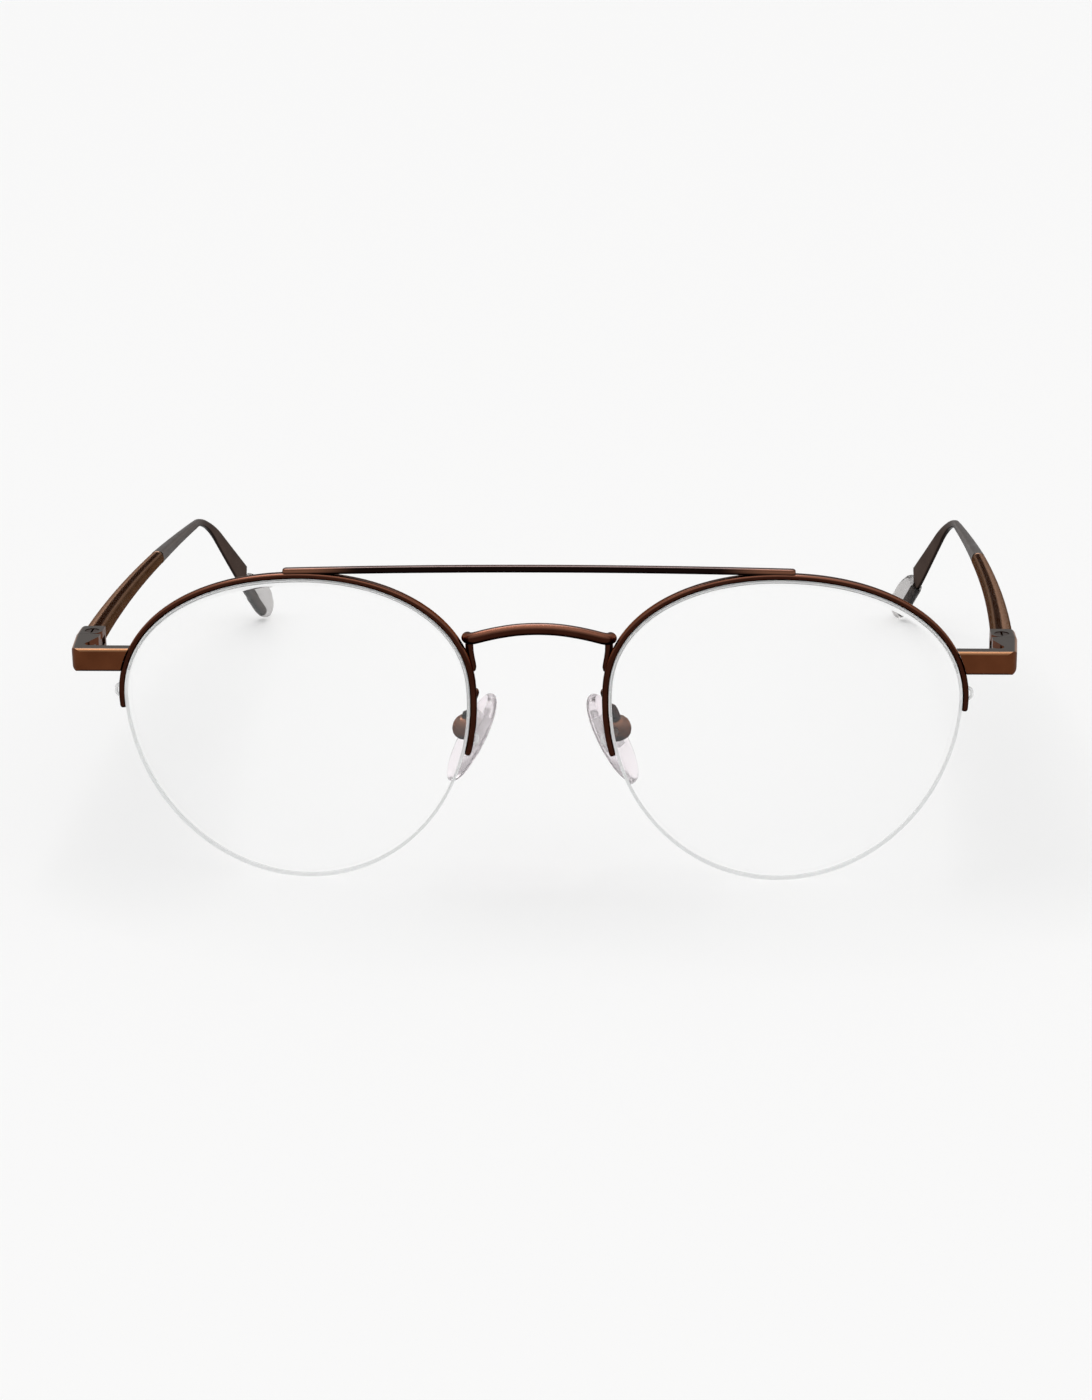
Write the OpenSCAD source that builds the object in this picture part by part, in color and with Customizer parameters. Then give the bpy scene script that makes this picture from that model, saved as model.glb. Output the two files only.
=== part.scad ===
// Half-rim metal spectacle frame: two clear lenses hung in grooved upper rims by nylon cords,
// a brow bar over a lower bridge, rocking nose pads, and temples that fold on screw hinges.
// Millimetres. Origin on the table under the middle of the frame, +Z up, front toward -Y.
// The wearer's-view right side is modelled and the left side is its mirror image.

/* [View] */

/* [Lenses] */
// Half width of the lens outline
half_w = 26; // [23:0.1:28]
// Rise of the outline above its widest line
rise = 18.07; // [15:0.01:22]
// Drop of the outline below its widest line
drop = 28.63; // [22:0.01:32]
// Squareness of the upper outline, 2 is an ellipse
top_power = 2.1; // [2:0.01:3]
// Height of the widest line over the lens origin
wide_v = 5.97; // [0:0.01:10]
// Turn of the outline in its own plane
cant = -4.37; // [-10:0.01:10]
// Distance between the two lenses
dbl = 20.38; // [14:0.01:26]
// Height of the lens origin over the table
lens_z = 22.683; // [15:0.01:30]
// Lens thickness at the edge
lens_t = 2; // [1:0.1:3]
// Radius of the lens sphere
base_r = 130; // [80:1:260]
// Forward tilt of the front
tilt = 1.55; // [0:0.05:12]
// Wrap of each lens away from straight
wrap = 4.35; // [0:0.05:12]

/* [Rims] */
// Width of the rim seen from the front
rim_w = 0.93; // [0.7:0.01:2]
// Depth of the rim front to back
rim_d = 1.45; // [1:0.01:3]
// Angle of the rim end on the temple side
tail_a = -1.6; // [-20:0.1:20]
// Angle of the rim end on the nose side
nose_a = 203.1; // [180:0.1:230]
// Diameter of the nylon cord
cord_d = 0.5; // [0.3:0.01:0.8]
// Length of rim between a rim end and its first cord hole
hole_in = 1.8; // [0.6:0.05:3]
// Distance between the two cord holes of one rim end
hole_pitch = 1.6; // [1.3:0.05:4]

/* [Bridges] */
// Height of the brow bar section
bar_h = 1.06; // [0.6:0.01:2]
// Depth of the brow bar section
bar_d = 1.3; // [0.8:0.01:3]
// Half length of the brow bar
bar_half = 37.3; // [25:0.1:45]
// Top of the brow bar at its middle
bar_top = 49.21; // [40:0.01:56]
// Drop of the brow bar from its middle to its ends
bar_drop = 0.86; // [0:0.01:4]
// Diameter of the lower bridge wire
bridge_d = 1.8; // [1:0.05:2.5]
// Diameter of the two legs under its ends
leg_d = 1.2; // [0.8:0.05:2]
// Height of the lower bridge wire at its middle
bridge_z = 39.5; // [30:0.1:46]

/* [End pieces] */
// Height of the end piece and of the hinge blocks
end_h = 3.62; // [2.5:0.01:6]
// Height of their underside over the table
end_z = 31.56; // [25:0.01:40]
// Thickness of the end piece strip
strip_t = 1.8; // [1:0.05:3]
// Distance of the outer face from the middle plane, at the joint
end_x = 70.5; // [60:0.1:80]
// Outward slant of that face behind the front corner
slant = 5.4; // [0:0.1:12]
// Width of the hinge blocks
block_w = 3.75; // [2.5:0.05:6]
// Front face of the end piece
end_y = 2.2; // [0:0.05:6]
// Joint face between end piece and temple
joint_y = 9.74; // [7:0.01:14]
// Rear face of the temple block
block_y = 13.8; // [11:0.05:20]

/* [Hinges] */
// Distance of the hinge axis behind the joint face
axis_back = 1.72; // [1.2:0.01:3]
// Distance of the hinge axis inside the outer face
axis_in = 2.16; // [1.5:0.01:4]
// Shank diameter of the hinge screw
screw_d = 1.2; // [0.8:0.05:2]
// Head diameter of the hinge screw
head_d = 2.1; // [1.4:0.05:3]
// Height of the tongue in the middle of the hinge
tongue_h = 1.24; // [0.8:0.01:2]

/* [Temples] */
// Length along the temple from the block to the tip end
temple_len = 134.24; // [110:0.1:150]
// Length along the temple up to the ear bend
bend_s = 99.6; // [80:0.1:120]
// Radius of the ear bend
bend_r = 13.3; // [8:0.1:30]
// Fall of the front part of the temple below level
fall = 5.24; // [0:0.01:15]
// Fall of the tip below level
tip_fall = 52.7; // [30:0.1:80]
// Offset of its centre line outside the hinge axis
start_out = 0.3; // [-0.5:0.05:0.6]
// Outward heading of the temple at the block
flare = 3.98; // [-10:0.05:12]
// Inward turn of the heading over each millimetre
bow = 0.0709; // [0:0.0001:0.3]
// Further inward turn of the heading over the ear bend
toe_in = 25.3; // [0:0.1:40]
// Length of the ribbed sleeve
sleeve_len = 65.2; // [40:0.1:90]
// Sleeve diameter at the block
sleeve_d0 = 3.4; // [2:0.01:4]
// Sleeve diameter at its rear end
sleeve_d1 = 2.45; // [1.6:0.01:4]
// Pitch of the sleeve ribs
rib_pitch = 1.12; // [0.8:0.01:3]
// Depth of the sleeve ribs
rib_depth = 0.07; // [0.02:0.01:0.2]
// Diameter of the temple core inside the sleeve
core_d = 1.2; // [0.8:0.01:2]
// Length of the clear tip cover
tip_len = 14; // [8:0.1:40]

/* [Nose pads] */
// Pad length
pad_l = 14.6; // [10:0.1:18]
// Pad width
pad_w = 7.8; // [5:0.1:11]
// Pad thickness
pad_t = 2.1; // [1.2:0.05:3]
// Pad centre, from the middle plane
pad_x = 10.38; // [7:0.05:16]
// Pad centre, behind the front
pad_y = 5; // [2:0.05:14]
// Pad centre, over the table
pad_z = 20.6; // [12:0.05:30]
// Diameter of the pad box
box_d = 3.9; // [2.5:0.05:6]
// Diameter of the pad arm wire
arm_d = 1.1; // [0.7:0.05:1.6]

/* [Hidden] */
copper = [0.44, 0.27, 0.18];
clear = [0.85, 0.86, 0.86, 0.45];
white = [0.9, 0.9, 0.88];
steel = [0.5, 0.45, 0.42];
// Gap left at soldered and brazed faces, and running clearance in the hinges
seam = 0.02;
run = 0.05;
// Middle of the whole object in depth
mid_y = 66.08;
// Radius on the lens at which its depth is zero
dome_r = 25;
// Lens groove, rim groove, the nylon strip between them and where it begins behind the cord holes
lens_groove_w = 0.66;
lens_groove = 0.55;
rim_gap = 0.05;
rim_groove_w = 0.7;
rim_groove = 0.42;
strip_w = 0.58;
strip_in = 0.5;
strip_back = 2.6;
// Rim section corners and end rounding
rim_out = rim_gap + rim_w;
rim_chamfer = 0.3;
end_round = 0.5;
mean_r = 26;
// Spans of rim, as outline angles, where the bar, the bridge, a pad arm and an end piece meet it
bar_span = [84, 116];
bridge_span = [140, 190];
arm_span = [165, 195];
end_span = [4, 32];
end_clear = 3;
// Place of the right lens, from the reach of its outline to the nose side
lens_x = dbl / 2 + max([for (a = [150:210]) -outline(a)[0]]) * cos(wrap);
lens_y = 0.83;
// Cord run: centre depth in the lens groove, room under the outside loop, and the hole
cord_p = -0.25;
loop_out = 0.25;
loop_p = rim_out + loop_out + cord_d / 2;
cord_end_p = -0.05;
rim_mid = (rim_gap + rim_out) / 2;
cord_corner = 0.3;
loop_corner = 0.65;
hole_d = cord_d + 2 * run;
// Depth of the middle of the brow bar, and how far back its ends lie from there
bar_y = -1.15;
bar_bow = 1.25;
// Hinge
axis_x = end_x - axis_in;
axis_y = joint_y + axis_back;
end_mid = end_z + end_h / 2;
end_top = end_z + end_h;
tongue_r = 1.42;
knuckle_r = axis_back - 0.1;
head_t = 0.55;
sunk = 0.1;
driver_w = 0.3;
slot_r = tongue_r + 0.08;
// Outer vertical corners, outer edges and front edges of the end piece
corner_r = 1.8;
edge_r = 0.9;
top_r = 0.6;
wedge_y = 5;
wedge_back = 8.2;
// Place on the lens outline at which the end piece starts, hidden behind the rim
plate_a = 20;
plate_x = lens_x + outline(plate_a)[0] * cos(wrap);
front_x = end_x - (joint_y - end_y - corner_r) * tan(slant);
rear_r = 1.2;
// Reach of the cutters that shape the outer edges
past = end_x - plate_x + block_y;
// Temple
start = [axis_x + start_out, block_y, end_mid];
bend_len = bend_r * (tip_fall - fall) * PI / 180;
slot_wall = 0.25;
core_in = block_y - axis_y - slot_r - slot_wall;
sleeve_gap = 0.2;
cover_s = temple_len - tip_len;
mouth_s = cover_s + 3.1;
cover_foot = 2.25;
// Pad
pad_c = [pad_x, pad_y, pad_z];
pad_turn = [0, -29, -19];
box_z = 1.2;
box_in = 1.45;
box_foot = 1.4;
box_top = 2.3;
box_roof = 3;
box_cap = 1.6;
pin_x = 2.15;
pin_d = 0.8;
insert_x = -0.28;
insert_size = [0.8, 4.16, 5.56];
lug_t = 1;
lug_r = 0.85;

function unit(v) = v / norm(v);
function clamp(x, lo, hi) = min(max(x, lo), hi);

// Lens outline in its own plane: angle a, first axis toward the temple, second axis up
function polar_r(a) =
  let(upper = sin(a) >= 0, n = upper ? top_power : 2, b = upper ? rise : drop)
  pow(pow(abs(cos(a)) / half_w, n) + pow(abs(sin(a)) / b, n), -1 / n);
function outline(a) =
  let(x = polar_r(a) * cos(a), z = wide_v + polar_r(a) * sin(a))
  [x * cos(cant) - z * sin(cant), x * sin(cant) + z * cos(cant)];
function outward(a) =
  let(t = unit(outline(a + 0.5) - outline(a - 0.5)))
  [t[1], -t[0]];
function dome(e) = (e * e - dome_r * dome_r) / (2 * base_r);
// Point p outside the lens edge and q behind the middle of the edge
function at_edge(a, p, q) =
  let(e = outline(a), f = e + outward(a) * p)
  [f[0], dome(e) + q, f[1]];
// Angle that lies d along the rim
function along(d) = d / mean_r * 180 / PI;

// Solid skin over rings of points, each ring counter-clockwise about the way of travel
function side_faces(n, m, wraps) = [
  for (i = [0:n - (wraps ? 1 : 2)], j = [0:m - 1], k = [0:1])
    let(a = i * m + j, b = i * m + (j + 1) % m, c = (a + m) % (n * m), d = (b + m) % (n * m))
    k == 0 ? [a, d, b] : [a, c, d]
];
module skin(rings, wraps = false) {
  n = len(rings);
  m = len(rings[0]);
  first = [for (j = [0:m - 1]) j];
  last = [for (j = [m - 1:-1:0]) (n - 1) * m + j];
  polyhedron(
    points = [for (r = rings, p = r) p],
    faces = wraps ? side_faces(n, m, true) : concat([first], side_faces(n, m, false), [last]),
    convexity = 10
  );
}

// Ring of m points round c, square to t, half widths ra sideways and rb along up
function ring(c, t, up, ra, rb, m) =
  let(s = unit(cross(up, t)), u = cross(t, s))
  [for (j = [0:m - 1]) let(w = 360 * (j + 0.5) / m) c + s * ra * cos(w) + u * rb * sin(w)];
function tangent(path, i) = unit(path[min(i + 1, len(path) - 1)] - path[max(i - 1, 0)]);
function tube(path, up, r, m) =
  [for (i = [0:len(path) - 1]) ring(path[i], tangent(path, i), up, r[i], r[i], m)];
// Smooth curve through hand-set points, k steps to each piece
function curve_at(a, b, c, d, t) =
  ((3 * b - a - 3 * c + d) * t * t * t + (2 * a - 5 * b + 4 * c - d) * t * t + (c - a) * t + 2 * b) / 2;
function curve(p, k) = concat(
  [for (i = [0:len(p) - 2], j = [0:k - 1])
    curve_at(i == 0 ? 2 * p[0] - p[1] : p[i - 1], p[i], p[i + 1],
      i + 2 < len(p) ? p[i + 2] : 2 * p[i + 1] - p[i], j / k)],
  [p[len(p) - 1]]
);
// Rounded corner at b on the way from a to c
function corner(a, b, c, r) =
  let(u = unit(a - b), v = unit(c - b), h = acos(u * v) / 2, m = b + unit(u + v) * r / sin(h),
    p = b + u * r / tan(h) - m, q = b + v * r / tan(h) - m)
  [for (f = [0:0.25:1]) m + r * unit(p * (1 - f) + q * f)];

module right_place() {
  translate([0, -mid_y, 0]) children();
}
module left_place() {
  mirror([1, 0, 0]) translate([0, -mid_y, 0]) children();
}
module lens_plane() {
  translate([lens_x, lens_y, lens_z]) rotate([tilt, 0, wrap]) children();
}
module pad_plane() {
  translate(pad_c) rotate(pad_turn) children();
}

// Clear lens with a groove all round its edge
function lens_ring(s, p, q, n) =
  [for (j = [0:n - 1]) let(a = -360 * j / n, e = (outline(a) + outward(a) * p) * s)
    [e[0], dome(s < 0.1 ? [0, 0] : s < 1 ? e : outline(a)) + q, e[1]]];
module lens() {
  n = 72;
  h = lens_t / 2;
  g = lens_groove_w / 2;
  color(clear)
    skin([
      lens_ring(0.06, 0, -h, n), lens_ring(0.3, 0, -h, n), lens_ring(0.64, 0, -h, n),
      lens_ring(1, 0, -h, n), lens_ring(1, 0, -g, n), lens_ring(1, -lens_groove, -g, n),
      lens_ring(1, -lens_groove, g, n), lens_ring(1, 0, g, n), lens_ring(1, 0, h, n),
      lens_ring(0.64, 0, h, n), lens_ring(0.3, 0, h, n), lens_ring(0.06, 0, h, n)
    ]);
}

// Four-cornered section of the strip or its groove at part f of their length, more longer at each end
function strip_ring(f, more, p0, p1, h) =
  let(d = along(hole_in + hole_pitch + strip_back - more), a = tail_a + d + (nose_a - tail_a - 2 * d) * f)
  [for (e = [[p0, -h], [p1, -h], [p1, h], [p0, h]]) at_edge(a, e[0], e[1])];

// Upper rim, grooved inside, with two cord holes near each end
function to_end(a) = min(a - tail_a, nose_a - a) * PI / 180 * mean_r;
function rim_scale(a) =
  let(d = clamp(to_end(a) / end_round, 0, 1)) 0.5 + 0.5 * sqrt(1 - (1 - d) * (1 - d));
function rim_ring(a) =
  let(s = rim_scale(a), c = rim_chamfer, h = rim_d / 2)
  [for (e = [
      [rim_gap, c - h], [rim_gap + c, -h], [rim_out - c, -h], [rim_out, c - h],
      [rim_out, h - c], [rim_out - c, h], [rim_gap + c, h], [rim_gap, h - c]])
    at_edge(a, rim_mid + (e[0] - rim_mid) * s, e[1] * s)];
function rim_angles() = concat(
  [tail_a, tail_a + along(end_round / 4), tail_a + along(end_round)],
  [for (i = [1:49]) tail_a + (nose_a - tail_a) * i / 50],
  [nose_a - along(end_round), nose_a - along(end_round / 4), nose_a]
);
function hole_angles() = [
  tail_a + along(hole_in), tail_a + along(hole_in + hole_pitch),
  nose_a - along(hole_in + hole_pitch), nose_a - along(hole_in)
];
module rim() {
  color(copper)
    difference() {
      skin([for (a = rim_angles()) rim_ring(a)]);
      skin([for (i = [0:46]) strip_ring(i / 46, 0.5, -rim_gap, rim_gap + rim_groove, rim_groove_w / 2)]);
      for (a = hole_angles())
        translate(at_edge(a, -1, 0))
          rotate([0, atan2(outward(a)[0], outward(a)[1]), 0])
            cylinder(h = rim_out + 2, d = hole_d, $fn = 16);
    }
}
// Plain solid the size of the rim and a seam more over a span of angles, cut out of what is
// soldered to it; it reaches p0 from the lens edge and h to each side
module rim_shadow(span, p0 = -0.2, h = rim_d / 2 + seam) {
  n = 12;
  p1 = rim_out + seam;
  c = rim_chamfer;
  lens_plane()
    skin([for (i = [0:n]) let(a = span[0] + (span[1] - span[0]) * i / n)
      [for (e = [[p0, -h], [p1 - c, -h], [p1, c - h], [p1, h - c], [p1 - c, h], [p0, h]])
        at_edge(a, e[0], e[1])]]);
}

// Nylon strip between the rim groove and the lens groove
module rim_liner() {
  color(white)
    skin([for (i = [0:46]) strip_ring(i / 46, 0, -strip_in, rim_gap + rim_groove - seam, strip_w / 2)]);
}

// Nylon cord: along the lower lens groove, out through a hole at each rim end, back in by the next
function cord_pt(a, p) = at_edge(a, p, 0);
function cord_path() =
  let(h = hole_angles(), a0 = h[1], a1 = h[0] , b0 = h[3] - 360, b1 = h[2] - 360)
  concat(
    [cord_pt(a0, cord_end_p), cord_pt(a0, rim_mid)],
    corner(cord_pt(a0, rim_mid), cord_pt(a0, loop_p), cord_pt(a1, loop_p), loop_corner),
    [cord_pt((a0 + a1) / 2, loop_p)],
    corner(cord_pt(a0, loop_p), cord_pt(a1, loop_p), cord_pt(a1, rim_mid), loop_corner),
    [cord_pt(a1, rim_mid)],
    corner(cord_pt(a1, rim_mid), cord_pt(a1, cord_p), cord_pt(a1 - 3, cord_p), cord_corner),
    [for (i = [1:35]) cord_pt(a1 + (b0 - a1) * i / 36, cord_p)],
    corner(cord_pt(b0 + 3, cord_p), cord_pt(b0, cord_p), cord_pt(b0, rim_mid), cord_corner),
    [cord_pt(b0, rim_mid)],
    corner(cord_pt(b0, rim_mid), cord_pt(b0, loop_p), cord_pt(b1, loop_p), loop_corner),
    [cord_pt((b0 + b1) / 2, loop_p)],
    corner(cord_pt(b0, loop_p), cord_pt(b1, loop_p), cord_pt(b1, rim_mid), loop_corner),
    [cord_pt(b1, rim_mid), cord_pt(b1, cord_end_p)]
  );
module cord() {
  path = cord_path();
  color(white)
    skin(tube(path, [0, 1, 0], [for (p = path) cord_d / 2], 8));
}

// Brow bar lying on both rims, its underside fitted to them
module brow_bar() {
  xs = concat([-bar_half, 0.1 - bar_half, 0.35 - bar_half],
    [for (i = [-8:8]) i * (bar_half - 0.8) / 8], [bar_half - 0.35, bar_half - 0.1, bar_half]);
  function fade(x) =
    let(d = clamp((bar_half - abs(x)) / 0.5, 0, 1)) 0.5 + 0.5 * sqrt(1 - (1 - d) * (1 - d));
  function out(x) = x * x / (bar_half * bar_half);
  path = [for (x = xs) [x, bar_y + bar_bow * out(x), bar_top - bar_h / 2 - bar_drop * out(x)]];
  color(copper)
    difference() {
      skin([for (i = [0:len(xs) - 1])
        ring(path[i], tangent(path, i), [0, 0, 1], bar_d / 2 * fade(xs[i]), bar_h / 2 * fade(xs[i]), 10)]);
      rim_shadow(bar_span);
      mirror([1, 0, 0]) rim_shadow(bar_span);
    }
}

// Lower bridge: an arched wire with its ends turned back, and a leg under each end behind the rim
function bridge_half() =
  let(e = dbl / 2, z = bridge_z)
  [
    [e - 7.3, -0.97, z - 0.14], [e - 4.7, -0.86, z - 0.55], [e - 2.6, -0.72, z - 1.04],
    [e - 1.3, -0.58, z - 1.42], [e - 0.6, -0.4, z - 1.64], [e - 0.05, -0.05, z - 1.78],
    [e + 0.3, 0.45, z - 1.82], [e + 0.45, 0.95, z - 1.8]
  ];
function leg_points() =
  let(e = dbl / 2, z = bridge_z)
  [
    [e, 0.42, z - 1.9], [e + 0.06, 0.4, z - 2.8], [e + 0.04, 0.35, z - 3.7],
    [e - 0.08, 0.29, z - 4.7], [e - 0.29, 0.24, z - 5.9], [e - 0.39, 0.22, z - 6.9]
  ];
// Share of full thickness k steps from a rounded end
function end_share(k) = k == 0 ? 0.55 : k == 1 ? 0.88 : 1;
module bridge_leg() {
  path = curve(leg_points(), 2);
  m = len(path) - 1;
  skin(tube(path, [0, 1, 0], [for (i = [0:m]) leg_d / 2 * end_share(m - i)], 10));
}
module bridge() {
  half = bridge_half();
  left = [for (i = [len(half) - 1:-1:0]) [-half[i][0], half[i][1], half[i][2]]];
  path = curve(concat(left, [[0, -1, bridge_z]], half), 2);
  m = len(path) - 1;
  color(copper)
    difference() {
      union() {
        skin(tube(path, [0, 0, 1], [for (i = [0:m]) bridge_d / 2 * end_share(min(i, m - i))], 10));
        bridge_leg();
        mirror([1, 0, 0]) bridge_leg();
      }
      rim_shadow(bridge_span);
      mirror([1, 0, 0]) rim_shadow(bridge_span);
    }
}

// End piece: strip soldered to the rim, bent back round the corner and carrying the hinge tongue
module end_profile() {
  in_x = end_x - block_w;
  wall_x = front_x - strip_t;
  bend_in = 0.9;
  difference() {
    union() {
      translate([plate_x, end_y]) square([front_x - corner_r - plate_x, strip_t]);
      translate([front_x - corner_r, end_y + corner_r]) circle(r = corner_r, $fn = 48);
      polygon([
        [front_x - corner_r, end_y + corner_r], [front_x + corner_r * tan(slant), end_y + corner_r],
        [end_x, joint_y], [in_x, joint_y], [in_x, wedge_back], [wall_x, wedge_y],
        [wall_x, end_y + corner_r]
      ]);
      translate([wall_x - bend_in, end_y + strip_t - 0.01]) square([bend_in + 0.5, bend_in + 0.01]);
    }
    translate([wall_x - bend_in, end_y + strip_t + bend_in]) circle(r = bend_in, $fn = 32);
  }
}
module front_rounds() {
  translate([plate_x - 1, 0, 0])
    rotate([90, 0, 90])
      linear_extrude(height = past + 1)
        hull() {
          for (z = [end_z + top_r, end_top - top_r])
            translate([end_y + top_r, z]) circle(r = top_r, $fn = 24);
          translate([block_y, end_z]) square([0.1, end_h]);
        }
}
// Rounded outer edges, their straight run turned by a about the joint
module side_rounds(a) {
  translate([end_x, joint_y, 0])
    rotate([0, 0, -a])
      translate([0, past, 0])
        rotate([90, 0, 0])
          linear_extrude(height = 2 * past)
            hull() {
              translate([-past, end_z]) square([0.1, end_h]);
              translate([-edge_r, end_z + edge_r]) circle(r = edge_r, $fn = 32);
              translate([-top_r, end_top - top_r]) circle(r = top_r, $fn = 24);
            }
}
module at_axis(z) {
  translate([axis_x, axis_y, z]) children();
}
module endpiece() {
  color(copper)
    difference() {
      union() {
        intersection() {
          translate([0, 0, end_z - 1]) linear_extrude(height = end_h + 2) end_profile();
          front_rounds();
          side_rounds(slant);
        }
        at_axis(end_mid - tongue_h / 2) cylinder(h = tongue_h, r = tongue_r, $fn = 48);
        translate([axis_x - tongue_r, joint_y - 0.1, end_mid - tongue_h / 2])
          cube([2 * tongue_r, axis_back + 0.1, tongue_h]);
      }
      at_axis(end_z) cylinder(h = end_h, d = screw_d + 2 * run, $fn = 32);
      rim_shadow(end_span, -end_clear, end_clear);
    }
}

// Temple block: fork round the tongue, its inner front quarter rounded so it can swing
module block_profile() {
  union() {
    at_axis_flat() circle(r = knuckle_r, $fn = 48);
    translate([axis_x, joint_y + run]) square([end_x - axis_x, block_y - rear_r - joint_y - run]);
    translate([end_x - block_w, axis_y]) square([block_w, block_y - rear_r - axis_y]);
    translate([end_x - block_w, axis_y]) square([block_w - rear_r, block_y - axis_y]);
    translate([end_x - rear_r, block_y - rear_r]) circle(r = rear_r, $fn = 32);
  }
}
module at_axis_flat() {
  translate([axis_x, axis_y]) children();
}
module temple_block() {
  slot_h = tongue_h + 2 * run;
  slot_z = end_mid - slot_h / 2;
  color(copper)
    difference() {
      intersection() {
        translate([0, 0, end_z]) linear_extrude(height = end_h) block_profile();
        side_rounds(0);
      }
      at_axis(slot_z) cylinder(h = slot_h, r = slot_r, $fn = 48);
      translate([end_x - block_w - 1, joint_y - 1, slot_z])
        cube([axis_x - end_x + block_w + 1 + slot_r, axis_back + 1, slot_h]);
      translate([end_x - block_w - 1, axis_y - 0.01, slot_z])
        cube([axis_x - end_x + block_w + 1, slot_r + 0.01, slot_h]);
      at_axis(end_mid) cylinder(h = end_h, d = screw_d + 2 * run, $fn = 32);
      at_axis(end_z - 1) cylinder(h = end_h, d = screw_d + 0.04, $fn = 32);
      at_axis(end_top - head_t) cylinder(h = head_t + 1, d = head_d + 2 * run, $fn = 32);
      translate(start - dir(0) * (core_in + seam)) aim()
        cylinder(h = core_in + 1, d = core_d + 2 * seam, $fn = 24);
    }
}
module hinge_screw() {
  color(steel)
    difference() {
      union() {
        at_axis(end_z + sunk) cylinder(h = end_h - head_t - sunk / 2, d = screw_d, $fn = 32);
        at_axis(end_top - head_t + seam) cylinder(h = head_t - sunk, d = head_d, $fn = 32);
      }
      at_axis(end_top - sunk - driver_w) translate([-driver_w / 2, -head_d, 0])
        cube([driver_w, 2 * head_d, 1]);
    }
}

// Temple centre line: distance s along it from the rear of the block
function bend_part(s) = clamp((s - bend_s) / bend_len, 0, 1);
function heading(s) = flare - bow * s - toe_in * bend_part(s);
function falling(s) = fall + (tip_fall - fall) * bend_part(s);
function dir(s) = [sin(heading(s)) * cos(falling(s)), cos(heading(s)) * cos(falling(s)), -sin(falling(s))];
function temple_at(s) =
  let(n = 100, h = s / n)
  start + h * ([for (i = [1:n]) 1] * [for (i = [1:n]) dir((i - 0.5) * h)]);
function trail(ss) = [for (s = ss) temple_at(s)];
module aim() {
  rotate([-90 - fall, 0, -flare]) children();
}
// Ring at p square to the temple at s, centred lift above the centre line
function temple_ring(p, s, ra, rb, lift, m) =
  let(t = dir(s), a = unit(cross([0, 0, 1], t)), u = cross(t, a))
  [for (j = [0:m - 1]) let(w = 360 * (j + 0.5) / m) p + a * ra * cos(w) + u * (lift + rb * sin(w))];

// Core: round in the sleeve, flat behind it, a widening blade past the ear bend, narrow in the cover
function core_side(s) =
  s < sleeve_len + 0.3 ? core_d / 2
  : s < bend_s ? 1.06 - 0.46 * (s - sleeve_len) / (bend_s - sleeve_len) : 0.55;
function core_high(s) =
  s < sleeve_len + 0.3 ? core_d / 2
  : s < bend_s ? 1.12 - 0.47 * (s - sleeve_len) / (bend_s - sleeve_len)
  : s < bend_s + 6 ? 0.65
  : s < cover_s + 1 ? 0.65 + 1.1 * (s - bend_s - 6) / (cover_s + 1 - bend_s - 6)
  : s < cover_s + 3 ? 1.75 - 0.5 * (s - cover_s - 1) : 0.75;
function core_lift(s) = s < cover_s + 1 ? 0 : -0.5 * min(s - cover_s - 1, 2);
function sleeve_steps() = [for (i = [0:10]) sleeve_gap + (sleeve_len - sleeve_gap) * i / 10];
function core_steps() = concat(
  [-core_in], sleeve_steps(), [sleeve_len + 0.29, sleeve_len + 0.31],
  [for (i = [1:6]) sleeve_len + (bend_s - sleeve_len) * i / 6],
  [for (i = [1:8]) bend_s + bend_len * i / 8],
  [for (f = [0.4, 1]) bend_s + bend_len + (cover_s + 1 - bend_s - bend_len) * f],
  [cover_s + 2, cover_s + 3, temple_len - 4, temple_len - 2.2, temple_len - 1.6]
);
module temple_core() {
  ss = core_steps();
  path = trail(ss);
  m = len(ss) - 1;
  color(copper)
    skin([for (i = [0:m]) let(s = ss[i], k = i == m ? 0.6 : 1)
      temple_ring(path[i], s, core_side(s) * k, core_high(s) * k, core_lift(s), 10)]);
}

// Sleeve with fine ribs round it, open at both ends
module sleeve() {
  n = floor((sleeve_len - sleeve_gap - 0.6) / rib_pitch);
  outer = concat([sleeve_gap], [for (i = [0:2 * n]) sleeve_gap + 0.3 + i * rib_pitch / 2], [sleeve_len]);
  inner = sleeve_steps();
  last = len(inner) - 1;
  bore_r = core_d / 2 + 0.05;
  path = trail(outer);
  back = trail(inner);
  function sleeve_r(s) = (sleeve_d0 + (sleeve_d1 - sleeve_d0) * s / sleeve_len) / 2;
  function rib_r(i) = sleeve_r(outer[i])
    - (i == 0 || i == len(outer) - 1 ? 0.12 : i % 2 == 0 ? rib_depth : 0);
  color(copper)
    skin(concat(
      [for (i = [0:len(outer) - 1]) temple_ring(path[i], outer[i], rib_r(i), rib_r(i), 0, 10)],
      [for (i = [last:-1:0]) temple_ring(back[i], inner[i], bore_r, bore_r, 0, 10)]
    ), true);
}

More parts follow.
